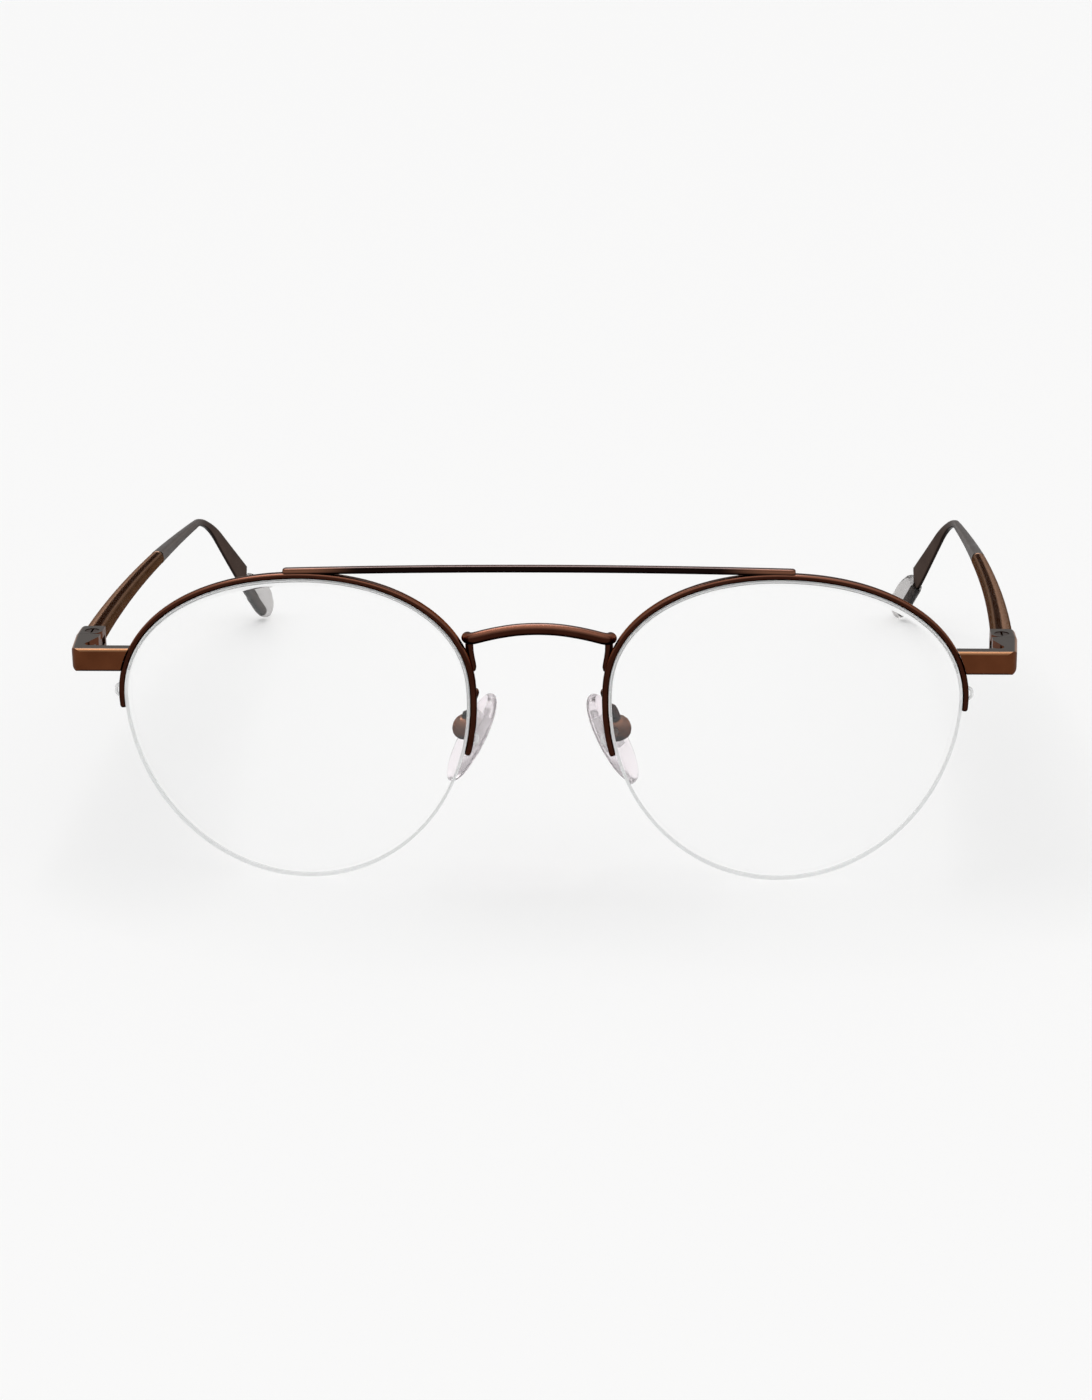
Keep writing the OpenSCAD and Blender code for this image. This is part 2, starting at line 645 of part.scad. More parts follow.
// Clear tip cover, blind, pushed over the narrow end of the core up to the shoulder of the blade
function cover_end(f) = sqrt(1 - pow(clamp((f - 0.62) / 0.38, 0, 0.985), 2.4));
function cover_lo(f) = cover_foot * cover_end(f);
function cover_hi(f) =
  (1.8 + 1.1 * sin(90 * clamp(f / 0.45, 0, 1))) * cover_end(f) - 0.4 * (1 - cover_end(f));
function cover_ring(p, s, k) =
  let(f = (s - mouth_s) / (temple_len - mouth_s), hi = cover_hi(f), lo = cover_lo(f))
  temple_ring(p, s, 1.15 * pow(cover_end(f), 0.7) * k, (hi + lo) / 2 * k, (hi - lo) / 2, 12);
module tip_cover() {
  inner = [temple_len - 1.5, temple_len - 2.1, mouth_s + 2, mouth_s];
  outer = concat([mouth_s, mouth_s + 0.3], [for (f = [0.2, 0.4, 0.62, 0.75, 0.85, 0.93, 0.98, 1])
    mouth_s + (temple_len - mouth_s) * f]);
  path_in = trail(inner);
  path = trail(outer);
  fit_side = core_side(temple_len) + 0.05;
  fit_high = core_high(temple_len) + 0.05;
  color(clear)
    skin(concat(
      [for (i = [0:3]) let(k = i == 0 ? 0.7 : 1)
        temple_ring(path_in[i], inner[i], fit_side * k, fit_high * k, core_lift(temple_len), 12)],
      [for (i = [0:len(outer) - 1]) cover_ring(path[i], outer[i], i == 0 ? 0.92 : 1)]
    ));
}

// Nose pad assembly in its own plane: X away from the nose, Y back, Z up
function pad_ring(s, x, n) =
  [for (j = [0:n - 1]) let(a = 360 * j / n, sy = cos(a), sz = sin(a))
    [x, pad_w / 2 * s * sign(sy) * pow(abs(sy), 0.9), pad_l / 2 * s * sz]];
module insert_place() {
  translate([insert_x, -insert_size[1] / 2, box_z - insert_size[2] / 2]) children();
}
module nose_pad() {
  h = pad_t / 2;
  n = 24;
  color(clear)
    difference() {
      pad_plane()
        skin([
          pad_ring(0.45, -h, n), pad_ring(0.8, 0.25 - h, n), pad_ring(0.97, 0.7 - h, n),
          pad_ring(1, 1.2 - h, n), pad_ring(0.97, h - 0.35, n), pad_ring(0.86, h, n)
        ]);
      pad_plane() insert_place() translate(-[seam, seam, seam])
        cube(insert_size + [pad_t, 2 * seam, 2 * seam]);
    }
}
module pad_insert() {
  color(clear)
    pad_plane()
      difference() {
        union() {
          insert_place() cube(insert_size);
          translate([0.4, -lug_t / 2, box_z - lug_r]) cube([pin_x - 0.4, lug_t, 2 * lug_r]);
          translate([pin_x, lug_t / 2, box_z]) rotate([90, 0, 0]) cylinder(h = lug_t, r = lug_r, $fn = 24);
        }
        translate([pin_x, lug_t, box_z]) rotate([90, 0, 0])
          cylinder(h = 2 * lug_t, d = pin_d + 2 * run, $fn = 20);
      }
}
module pad_box() {
  color(copper)
    pad_plane()
      translate([0, 0, box_z])
        difference() {
          rotate([0, 90, 0])
            rotate_extrude($fn = 32)
              polygon(concat(
                [[0, box_roof], [box_in, box_roof], [box_in, box_foot], [box_d / 2 - 0.12, box_foot],
                  [box_d / 2, box_foot + 0.12], [box_d / 2, box_top]],
                [for (w = [18:18:90]) [(box_d / 2) * cos(w), box_top + box_cap * sin(w)]]
              ));
          translate([pin_x, 3, 0]) rotate([90, 0, 0]) cylinder(h = 6, d = pin_d + 0.04, $fn = 20);
        }
}
module pad_screw() {
  color(steel)
    pad_plane()
      translate([pin_x, 0, box_z])
        rotate([90, 0, 0])
          difference() {
            union() {
              translate([0, 0, -1.8]) cylinder(h = 3.8, d = pin_d, $fn = 20);
              translate([0, 0, 1.97]) cylinder(h = 0.4, d = 1.3, $fn = 24);
            }
            translate([-1, -0.12, 2.17]) cube([2, 0.24, 1]);
          }
}

// Pad arm: wire soldered behind the rim, curving back and down to the pad box
module pad_arm() {
  e = dbl / 2;
  path = curve([
    [e - 0.75, 0.25, lens_z + 7.2], [e - 0.68, 0.32, lens_z + 6.5], [e - 0.3, 0.85, lens_z + 5.5],
    pad_c + [0.12, -3.1, 6.5], pad_c + [0.6, -2.2, 5.4], pad_c + [0.92, -1.4, 4.2],
    pad_c + [1.08, -0.7, 3]
  ], 3);
  m = len(path) - 1;
  color(copper)
    difference() {
      skin(tube(path, [1, 0, 0], [for (i = [0:m]) arm_d / 2 * (i == 0 ? 0.6 : i == 1 ? 0.95 : 1)], 8));
      rim_shadow(arm_span);
      pad_plane() translate([box_foot - 0.2, 0, box_z]) rotate([0, 90, 0])
        cylinder(h = box_d, r = box_d / 2 + seam, $fn = 32);
    }
}

module right_rim() {
  right_place() lens_plane() rim();
}
module right_rim_liner() {
  right_place() lens_plane() rim_liner();
}
module right_lens() {
  right_place() lens_plane() lens();
}
module right_cord() {
  right_place() lens_plane() cord();
}
module right_pad_arm() {
  right_place() pad_arm();
}
module right_pad_box() {
  right_place() pad_box();
}
module right_pad_screw() {
  right_place() pad_screw();
}
module right_pad_insert() {
  right_place() pad_insert();
}
module right_nose_pad() {
  right_place() nose_pad();
}
module right_endpiece() {
  right_place() endpiece();
}
module right_hinge_screw() {
  right_place() hinge_screw();
}
module right_temple_block() {
  right_place() temple_block();
}
module right_temple_core() {
  right_place() temple_core();
}
module right_sleeve() {
  right_place() sleeve();
}
module right_tip_cover() {
  right_place() tip_cover();
}
module left_rim() {
  left_place() lens_plane() rim();
}
module left_rim_liner() {
  left_place() lens_plane() rim_liner();
}
module left_lens() {
  left_place() lens_plane() lens();
}
module left_cord() {
  left_place() lens_plane() cord();
}
module left_pad_arm() {
  left_place() pad_arm();
}
module left_pad_box() {
  left_place() pad_box();
}
module left_pad_screw() {
  left_place() pad_screw();
}
module left_pad_insert() {
  left_place() pad_insert();
}
module left_nose_pad() {
  left_place() nose_pad();
}
module left_endpiece() {
  left_place() endpiece();
}
module left_hinge_screw() {
  left_place() hinge_screw();
}
module left_temple_block() {
  left_place() temple_block();
}
module left_temple_core() {
  left_place() temple_core();
}
module left_sleeve() {
  left_place() sleeve();
}
module left_tip_cover() {
  left_place() tip_cover();
}
module whole_brow_bar() {
  right_place() brow_bar();
}
module whole_bridge() {
  right_place() bridge();
}

whole_brow_bar();  // brow_bar
whole_bridge();  // bridge
right_rim();
right_rim_liner();
right_lens();
right_cord();
right_pad_arm();
right_pad_box();
right_pad_screw();
right_pad_insert();
right_nose_pad();
right_endpiece();
right_hinge_screw();
right_temple_block();
right_temple_core();
right_sleeve();
right_tip_cover();
left_rim();
left_rim_liner();
left_lens();
left_cord();
left_pad_arm();
left_pad_box();
left_pad_screw();
left_pad_insert();
left_nose_pad();
left_endpiece();
left_hinge_screw();
left_temple_block();
left_temple_core();
left_sleeve();
left_tip_cover();
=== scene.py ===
"""A half-rim metal spectacle frame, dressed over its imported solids.

Clear lenses, lacquered metal, nylon and silicone, seen from the front and a little above.
"""

import math

import bmesh
import bpy
from mathutils import Matrix, Vector


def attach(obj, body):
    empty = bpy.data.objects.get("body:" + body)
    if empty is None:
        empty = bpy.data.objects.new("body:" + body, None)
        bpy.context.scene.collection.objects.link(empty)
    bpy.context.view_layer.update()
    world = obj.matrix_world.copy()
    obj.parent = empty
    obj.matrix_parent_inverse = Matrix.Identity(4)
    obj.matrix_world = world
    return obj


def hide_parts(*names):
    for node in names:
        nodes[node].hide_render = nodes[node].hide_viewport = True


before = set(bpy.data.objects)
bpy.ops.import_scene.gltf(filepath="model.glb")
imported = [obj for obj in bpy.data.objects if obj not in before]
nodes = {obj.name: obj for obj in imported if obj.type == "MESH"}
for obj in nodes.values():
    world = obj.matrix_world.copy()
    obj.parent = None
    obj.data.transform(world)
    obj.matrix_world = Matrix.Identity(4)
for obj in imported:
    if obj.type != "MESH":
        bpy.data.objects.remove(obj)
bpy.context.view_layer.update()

# Studio
# A matt white sweep that fills the picture, one broad soft lamp overhead, and a pale room whose
# walls are white at the floor and the ceiling and greyer in between.
bpy.ops.mesh.primitive_plane_add(size=16, location=(0, 0, -0.0002))
sweep = bpy.context.object
sweep.name = "sweep"
paper = bpy.data.materials.new("white_paper")
paper.use_nodes = True
paper_shader = paper.node_tree.nodes["Principled BSDF"]
paper_shader.inputs["Base Color"].default_value = (0.914, 0.916, 0.92, 1)
paper_shader.inputs["Roughness"].default_value = 0.9
paper_shader.inputs["Specular IOR Level"].default_value = 0.1
sweep.data.materials.append(paper)

lamp_data = bpy.data.lights.new("overhead_lamp", "SUN")
lamp_data.energy = 1.12
lamp_data.angle = math.radians(45)
lamp_data.color = (1, 0.99, 0.97)
lamp = bpy.data.objects.new("overhead_lamp", lamp_data)
lamp.rotation_euler = (math.radians(-14), math.radians(-10), 0)
bpy.context.collection.objects.link(lamp)

room = bpy.data.worlds.new("studio_room")
room.use_nodes = True
tree = room.node_tree
tree.nodes.clear()
place = tree.nodes.new("ShaderNodeTexCoord")
split = tree.nodes.new("ShaderNodeSeparateXYZ")
tree.links.new(place.outputs["Generated"], split.inputs[0])
height = tree.nodes.new("ShaderNodeMath")
height.operation = "MULTIPLY_ADD"
height.inputs[1].default_value = 0.5
height.inputs[2].default_value = 0.5
tree.links.new(split.outputs["Z"], height.inputs[0])
walls = tree.nodes.new("ShaderNodeValToRGB")
walls.color_ramp.interpolation = "EASE"
for position, level in ((0.5, 0.92), (0.57, 0.8), (0.65, 0.5), (0.76, 0.42), (0.88, 0.75)):
    stop = walls.color_ramp.elements.new(position)
    stop.color = (level, level, level, 1)
walls.color_ramp.elements[0].color = (0.92, 0.92, 0.92, 1)
walls.color_ramp.elements[-1].color = (1, 1, 1, 1)
tree.links.new(height.outputs[0], walls.inputs[0])
sky = tree.nodes.new("ShaderNodeBackground")
tree.links.new(walls.outputs[0], sky.inputs["Color"])
room_out = tree.nodes.new("ShaderNodeOutputWorld")
tree.links.new(sky.outputs[0], room_out.inputs["Surface"])
bpy.context.scene.world = room
bpy.context.scene.view_settings.view_transform = "Standard"

# Camera
# Where the photograph was taken from: about 45 cm in front of the lenses, a little to the right,
# looking down on them. The numbers come from points that match on both sides of the frame.
camera_data = bpy.data.cameras.new("camera")
camera_data.sensor_width = 36
camera_data.lens = 78.97
camera_data.clip_end = 50
camera = bpy.data.objects.new("camera", camera_data)
yaw, pitch, roll = math.radians(-3.266), math.radians(18.499), math.radians(-0.77)
look = Vector((math.sin(yaw) * math.cos(pitch), math.cos(yaw) * math.cos(pitch), -math.sin(pitch)))
level = Vector((math.cos(yaw), -math.sin(yaw), 0))
upright = level.cross(look)
across = math.cos(roll) * level + math.sin(roll) * upright
upward = math.cos(roll) * upright - math.sin(roll) * level
camera.matrix_world = Matrix.LocRotScale(
    Vector((0.02535, -0.4941, 0.17169)), Matrix((across, upward, -look)).transposed(), None
)
bpy.context.collection.objects.link(camera)
bpy.context.scene.camera = camera

# Lenses
# Two round demonstration lenses of clear plastic, surfaced to a shallow sphere, their edges turned
# to outline, ground a little matt, and cut with the groove that takes the strip and the cord.
FRONT_MIDDLE = 66.08  # the depth zero of the front lies this far ahead of the part's origin
SIDES = (("right", 1), ("left", -1))
LENS_AT = (35.678, 0.83, 22.683)
TILT, WRAP, CANT = math.radians(1.55), math.radians(4.35), math.radians(-4.37)
HALF_WIDE, RISE, DROP, SQUARENESS, WIDE_UP = 26.0, 18.07, 28.63, 2.1, 5.97
LENS_THICK, SPHERE, DOME_ZERO = 2.0, 130.0, 25.0
GROOVE_WIDE, GROOVE_DEEP = 0.66, 0.55


def outline(angle):
    """Point of the lens edge in its own plane: first number toward the temple, second up."""
    power, tall = (SQUARENESS, RISE) if math.sin(angle) >= 0 else (2, DROP)
    reach = (
        abs(math.cos(angle) / HALF_WIDE) ** power + abs(math.sin(angle) / tall) ** power
    ) ** (-1 / power)
    x, z = reach * math.cos(angle), WIDE_UP + reach * math.sin(angle)
    return Matrix.Rotation(CANT, 2) @ Vector((x, z))


def outward(angle):
    """Direction square to the lens edge, away from the lens."""
    run = (outline(angle + 0.01) - outline(angle - 0.01)).normalized()
    return Vector((run.y, -run.x))


def dome(point):
    """How far the sphere has fallen back at a point of the lens plane."""
    return (point.length_squared - DOME_ZERO**2) / (2 * SPHERE)


LENS_TURN = Matrix.Rotation(WRAP, 3, "Z") @ Matrix.Rotation(TILT, 3, "X")


def from_lens(x, depth, z):
    """A point of the right lens's plane, seen from the part's origin."""
    return LENS_TURN @ Vector((x, depth, z)) + Vector(LENS_AT) - Vector((0, FRONT_MIDDLE, 0))


def at_edge(angle, out, back):
    """Point that far outside the lens edge and that far behind the middle of it."""
    edge = outline(angle)
    point = edge + outward(angle) * out
    return from_lens(point.x, dome(edge) + back, point.y)


def skin(name, rings, side=1, loop=False, crease=38):
    """Smooth solid through rings of points in millimetres. side -1 gives the mirror image."""
    count, size = len(rings), len(rings[0])
    points = [(side * p[0] / 1000, p[1] / 1000, p[2] / 1000) for ring in rings for p in ring]
    faces = []
    for i in range(count if loop else count - 1):
        for j in range(size):
            a, b = i * size + j, i * size + (j + 1) % size
            c, d = (b + size) % (count * size), (a + size) % (count * size)
            faces.append((a, b, c, d))
    if not loop:
        faces.append(tuple(range(size)))
        faces.append(tuple((count - 1) * size + j for j in range(size)))
    mesh = bpy.data.meshes.new(name)
    mesh.from_pydata(points, [], faces)
    work = bmesh.new()
    work.from_mesh(mesh)
    bmesh.ops.recalc_face_normals(work, faces=work.faces)
    work.to_mesh(mesh)
    work.free()
    mesh.shade_smooth()
    mesh.set_sharp_from_angle(angle=math.radians(crease))
    piece = bpy.data.objects.new(name, mesh)
    bpy.context.collection.objects.link(piece)
    return piece


def fit(piece, node, body, slot, *finishes):
    """The piece takes its finishes, stands for the node and moves with the body."""
    for finish in finishes:
        piece.data.materials.append(finish)
    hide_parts(node)
    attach(piece, body)


def new_material(name):
    """A material, its tree and the shader in it."""
    material = bpy.data.materials.new(name)
    material.use_nodes = True
    return material, material.node_tree, material.node_tree.nodes["Principled BSDF"]


def feed(node_tree, value, socket):
    """A number is set on the socket, and the output of another node is linked to it."""
    if isinstance(value, (int, float)):
        socket.default_value = value
    else:
        node_tree.links.new(value, socket)


def surface_noise(node_tree, scale, detail):
    """Noise over the piece, scale in features per metre."""
    where = node_tree.nodes.new("ShaderNodeTexCoord")
    noise = node_tree.nodes.new("ShaderNodeTexNoise")
    feed(node_tree, scale, noise.inputs["Scale"])
    feed(node_tree, detail, noise.inputs["Detail"])
    node_tree.links.new(where.outputs["Object"], noise.inputs["Vector"])
    return noise.outputs[0]


def mask_from(node_tree, value, start, end, shape="SMOOTHSTEP"):
    """From 0 where the value is at start to 1 where it is at end, and level past either."""
    mask = node_tree.nodes.new("ShaderNodeMapRange")
    mask.interpolation_type = shape
    feed(node_tree, start, mask.inputs["From Min"])
    feed(node_tree, end, mask.inputs["From Max"])
    node_tree.links.new(value, mask.inputs["Value"])
    return mask.outputs[0]


def colour_mix(node_tree, mask, low, high):
    """Colour low where the mask is 0 and high where it is 1."""
    mix = node_tree.nodes.new("ShaderNodeMix")
    mix.data_type = "RGBA"
    for value, socket in ((mask, 0), (low, 6), (high, 7)):
        node_tree.links.new(value, mix.inputs[socket])
    return mix.outputs[2]


def number_mix(node_tree, mask, low, high):
    """Number low where the mask is 0 and high where it is 1."""
    mix = node_tree.nodes.new("ShaderNodeMix")
    mix.data_type = "FLOAT"
    for value, socket in ((mask, 0), (low, 2), (high, 3)):
        node_tree.links.new(value, mix.inputs[socket])
    return mix.outputs[0]


def bump(material_tree, shader, height, depth, strength):
    """Relief of that depth in metres on the shader's normal."""
    node = material_tree.nodes.new("ShaderNodeBump")
    node.inputs["Distance"].default_value = depth
    node.inputs["Strength"].default_value = strength
    material_tree.links.new(height, node.inputs["Height"])
    material_tree.links.new(node.outputs[0], shader.inputs["Normal"])


def detail_group(name, colours, numbers):
    """Node group that takes those colours and numbers and gives a colour, a roughness and a
    height; with it come its nodes for what it is given and for its result."""
    group = bpy.data.node_groups.new(name, "ShaderNodeTree")
    terminals = group.interface
    for label in colours:
        terminals.new_socket(label, in_out="INPUT", socket_type="NodeSocketColor")
    for label in numbers:
        terminals.new_socket(label, in_out="INPUT", socket_type="NodeSocketFloat")
    terminals.new_socket("Color", in_out="OUTPUT", socket_type="NodeSocketColor")
    terminals.new_socket("Roughness", in_out="OUTPUT", socket_type="NodeSocketFloat")
    terminals.new_socket("Height", in_out="OUTPUT", socket_type="NodeSocketFloat")
    return group, group.nodes.new("NodeGroupInput"), group.nodes.new("NodeGroupOutput")


def place_detail(material_tree, shader, group, values):
    """The group, placed with those values, feeds the shader's colour and roughness; its height
    is handed back."""
    detail = material_tree.nodes.new("ShaderNodeGroup")
    detail.node_tree = group
    for socket, value in values.items():
        detail.inputs[socket].default_value = (*value, 1) if isinstance(value, tuple) else value
    material_tree.links.new(detail.outputs["Color"], shader.inputs["Base Color"])
    material_tree.links.new(detail.outputs["Roughness"], shader.inputs["Roughness"])
    return detail.outputs["Height"]


# The clear plastics waver a little in tone and finish, as moulded and polished ones do
clear_detail, given, result = detail_group(
    "clear_detail", ("Low Tone", "High Tone"), ("Scale", "Detail", "Smooth", "Dull")
)
waver = surface_noise(clear_detail, given.outputs["Scale"], given.outputs["Detail"])
tone = colour_mix(clear_detail, waver, given.outputs["Low Tone"], given.outputs["High Tone"])
rubbed = mask_from(clear_detail, waver, 0.3, 0.7, "LINEAR")
gloss = number_mix(clear_detail, rubbed, given.outputs["Smooth"], given.outputs["Dull"])
clear_detail.links.new(tone, result.inputs["Color"])
clear_detail.links.new(gloss, result.inputs["Roughness"])
clear_detail.links.new(waver, result.inputs["Height"])


def clear_stuff(name, clarity, index, grain, tones, finish, relief=None):
    """See-through material that wavers with a noise of that grain, which is its scale and detail,
    between two tones and two roughnesses. Relief is a depth in metres and a strength."""
    material, material_tree, shader = new_material(name)
    shader.inputs["Transmission Weight"].default_value = clarity
    shader.inputs["IOR"].default_value = index
    height = place_detail(material_tree, shader, clear_detail, {
        "Low Tone": tones[0], "High Tone": tones[1], "Scale": grain[0], "Detail": grain[1],
        "Smooth": finish[0], "Dull": finish[1],
    })
    if relief:
        bump(material_tree, shader, height, *relief)
    return material


lens_face = clear_stuff(
    "polished_lens_plastic", 1.0, 1.49, (900, 2), ((0.99, 0.992, 0.992), (1, 1, 1)), (0.0, 0.012)
)
lens_edge = clear_stuff(
    "ground_lens_edge", 0.55, 1.49, (3000, 2), ((0.9, 0.91, 0.91), (0.95, 0.95, 0.95)),
    (0.3, 0.4), (0.00001, 0.1),
)

LENS_STEPS = 180  # points round a lens


def lens_ring(part, out, back):
    """Ring that share of the way from the lens middle to its edge, so far out and so far back."""
    ring = []
    for i in range(LENS_STEPS):
        angle = 2 * math.pi * i / LENS_STEPS
        edge = outline(angle)
        point = (edge + outward(angle) * out) * part
        depth = dome(edge) if part == 1 else dome(point)
        ring.append(from_lens(point.x, depth + back, point.y))
    return ring


half_thick, half_groove = LENS_THICK / 2, GROOVE_WIDE / 2
bevel, groove_slope = 0.12, 0.1
parts = [0.02, 0.12, 0.25, 0.38, 0.5, 0.62, 0.73, 0.83, 0.91, 0.965]
for side, sign in SIDES:
    rings = [lens_ring(part, 0, -half_thick) for part in parts]
    edge_rings = [
        lens_ring(1, -bevel, -half_thick),
        lens_ring(1, 0, bevel - half_thick),
        lens_ring(1, 0, -half_groove),
        lens_ring(1, -GROOVE_DEEP, groove_slope - half_groove),
        lens_ring(1, -GROOVE_DEEP, half_groove - groove_slope),
        lens_ring(1, 0, half_groove),
        lens_ring(1, 0, half_thick - bevel),
        lens_ring(1, -bevel, half_thick),
    ]
    rings += edge_rings + [lens_ring(part, 0, half_thick) for part in reversed(parts)]
    lens = skin(side + "_clear_lens", rings, sign)
    fit(lens, side + "_lens", "frame", "lens", lens_face, lens_edge)
    for face in lens.data.polygons:
        band = face.index // LENS_STEPS
        face.material_index = 1 if len(parts) <= band < len(parts) + len(edge_rings) - 1 else 0
    lens.visible_shadow = False
    lens.visible_diffuse = False

# Nylon strips
# A flat strip of clear nylon pressed into the rim groove. It keeps the lens off the metal, so only
# its edge shows, through the lens.
nylon = clear_stuff(
    "clear_nylon", 0.6, 1.45, (2600, 2), ((0.94, 0.945, 0.945), (0.98, 0.98, 0.98)),
    (0.15, 0.25), (0.00001, 0.1),
)


def finish_node(name, finish):
    """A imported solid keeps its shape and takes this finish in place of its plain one."""
    piece = nodes[name]
    piece.data.materials.clear()
    piece.data.materials.append(finish)
    piece.data.shade_smooth()
    piece.data.set_sharp_from_angle(angle=math.radians(30))
    return piece


for side, _ in SIDES:
    finish_node(side + "_rim_liner", nylon).visible_shadow = False

# Rims
# Upper half rims, drawn as one profile wire of nickel alloy with rounded corners, bent to the
# outline, plated and lacquered a dark copper brown. The cord goes through near each end.
RIM_WIDE, RIM_DEEP, RIM_GAP, RIM_CORNER = 0.93, 1.45, 0.05, 0.42
TAIL, NOSE_END = math.radians(-1.6), math.radians(203.1)
MEAN_RADIUS, END_ROUND = 26.0, 0.5
RIM_GROOVE_WIDE, RIM_GROOVE_DEEP = 0.7, 0.42

# Colour of the lacquered metals: a random tone of the lacquer, then painted light laid by which way
# the surface faces: a painted highlight on edges that face up and forward, a painted reflection on
# tops and painted shade on undersides
lacquer_and_painted_light, given, result = detail_group(
    "lacquer_and_painted_light",
    ("Deep", "Bright", "Painted Highlight", "End Glint", "Painted Reflection", "Under"),
    ("Smooth", "Dull", "Painted Highlight From", "Painted Highlight To", "Painted Reflection From", "Painted Reflection To", "Crown Lean",
     "Ends From", "Ends To"),
)
cloud = surface_noise(lacquer_and_painted_light, 260, 3)
flake = surface_noise(lacquer_and_painted_light, 16000, 1)


def sum_up(operation, *values):
    """A Math node in the group, its inputs numbers or the outputs of other nodes."""
    node = lacquer_and_painted_light.nodes.new("ShaderNodeMath")
    node.operation = operation
    for socket, value in enumerate(values):
        feed(lacquer_and_painted_light, value, node.inputs[socket])
    return node.outputs[0]


FLAKE_SHARE, CLOUD_SHARE = 0.55, 0.45
grain = sum_up("MULTIPLY_ADD", flake, FLAKE_SHARE, sum_up("MULTIPLY", cloud, CLOUD_SHARE))
facing = lacquer_and_painted_light.nodes.new("ShaderNodeNewGeometry")
slope = lacquer_and_painted_light.nodes.new("ShaderNodeSeparateXYZ")
lacquer_and_painted_light.links.new(facing.outputs["Normal"], slope.inputs[0])
up = slope.outputs["Z"]
where = lacquer_and_painted_light.nodes.new("ShaderNodeTexCoord")
spot = lacquer_and_painted_light.nodes.new("ShaderNodeSeparateXYZ")
lacquer_and_painted_light.links.new(where.outputs["Object"], spot.inputs[0])
# The painted reflection on tops may lean toward the middle plane of the object, by the same amount
# on both sides
sideways = sum_up("MULTIPLY", sum_up("SIGN", spot.outputs["X"]), slope.outputs["X"])
leaning = sum_up("SUBTRACT", up, sum_up("MULTIPLY", sideways, given.outputs["Crown Lean"]))


def banded(colour, value, band, over):
    """The colour, with the colour over laid on it as the value goes through that band."""
    start, end = given.outputs[band + " From"], given.outputs[band + " To"]
    return colour_mix(lacquer_and_painted_light, mask_from(lacquer_and_painted_light, value, start, end), colour, over)


# Painted shade: undersides turn to the underside colour between these two steepnesses
PAINTED_SHADE_FROM, PAINTED_SHADE_TO = -0.25, -0.6  # steepness at which an underside starts and is full
tone = mask_from(lacquer_and_painted_light, grain, 0.35, 0.65, "LINEAR")
colour = colour_mix(lacquer_and_painted_light, tone, given.outputs["Deep"], given.outputs["Bright"])
from_middle = sum_up("ABSOLUTE", spot.outputs["X"])
# Painted highlight on edges that face up and forward, with a painted highlight tone of its own
# toward the ends of a piece; then a painted reflection on tops
painted_highlight_colour = banded(given.outputs["Painted Highlight"], from_middle, "Ends", given.outputs["End Glint"])
colour = banded(colour, up, "Painted Highlight", painted_highlight_colour)
colour = banded(colour, leaning, "Painted Reflection", given.outputs["Painted Reflection"])
# Painted shade on undersides
under = mask_from(lacquer_and_painted_light, up, PAINTED_SHADE_FROM, PAINTED_SHADE_TO)
colour = colour_mix(lacquer_and_painted_light, under, colour, given.outputs["Under"])
gloss = number_mix(lacquer_and_painted_light, cloud, given.outputs["Smooth"], given.outputs["Dull"])
lacquer_and_painted_light.links.new(colour, result.inputs["Color"])
lacquer_and_painted_light.links.new(gloss, result.inputs["Roughness"])
lacquer_and_painted_light.links.new(grain, result.inputs["Height"])

# Where the bands of painted light start and end: by steepness for the painted highlight and the
# painted reflection, by metres from the middle plane for the painted highlight at the ends, which
# here lie past every piece
PLAIN_BANDS = {
    "Painted Highlight From": 0.15, "Painted Highlight To": 0.55, "Painted Reflection From": 0.8, "Painted Reflection To": 0.985, "Crown Lean": 0.0,
    "Ends From": 1.0, "Ends To": 2.0,
}


def lacquered_metal(name, edge, flake_strength, tones, smooth, dull, bands=None):
    """Metal under a thin tinted lacquer, with fine flake and slow clouding. Tones are its deep and
    bright front colours, then a painted highlight on edges that face up and forward, a painted
    reflection on tops and painted shade on undersides."""
    material, material_tree, principled = new_material(name)
    principled.inputs["Metallic"].default_value = 1.0
    principled.inputs["Specular Tint"].default_value = (*edge, 1)
    height = place_detail(material_tree, principled, lacquer_and_painted_light, {
        "End Glint": (0, 0, 0), **tones, "Smooth": smooth, "Dull": dull,
        **PLAIN_BANDS, **(bands or {}),
    })
    bump(material_tree, principled, height, 0.00001, flake_strength)
    return material


# The copper on its up and forward edges is painted highlight, the grey-brown top a painted
# reflection, the near black underside painted shade
dark_brown = lacquered_metal(
    "dark_brown_lacquer", (0.32, 0.28, 0.26), 0.25,
    {
        "Deep": (0.024, 0.007, 0.0035), "Bright": (0.046, 0.014, 0.008),
        "Painted Highlight": (0.27, 0.108, 0.066), "Painted Reflection": (0.2, 0.15, 0.14),
        "Under": (0.006, 0.002, 0.0015),
    },
    0.2, 0.3,
)


def rounded_box(left, right, low, high, radius, steps):
    """Rounded rectangle of points, as (first, second) pairs."""
    points = []
    for cx, cz, start in (
        (right - radius, high - radius, 0), (left + radius, high - radius, 90),
        (left + radius, low + radius, 180), (right - radius, low + radius, 270),
    ):
        for i in range(steps + 1):
            turn = math.radians(start + 90 * i / steps)
            points.append((cx + radius * math.cos(turn), cz + radius * math.sin(turn)))
    return points


def end_rounding(distance):
    """Share of full thickness so many millimetres from a rounded end."""
    near = min(max(distance / END_ROUND, 0), 1)
    return 0.5 + 0.5 * math.sqrt(1 - (1 - near) ** 2)


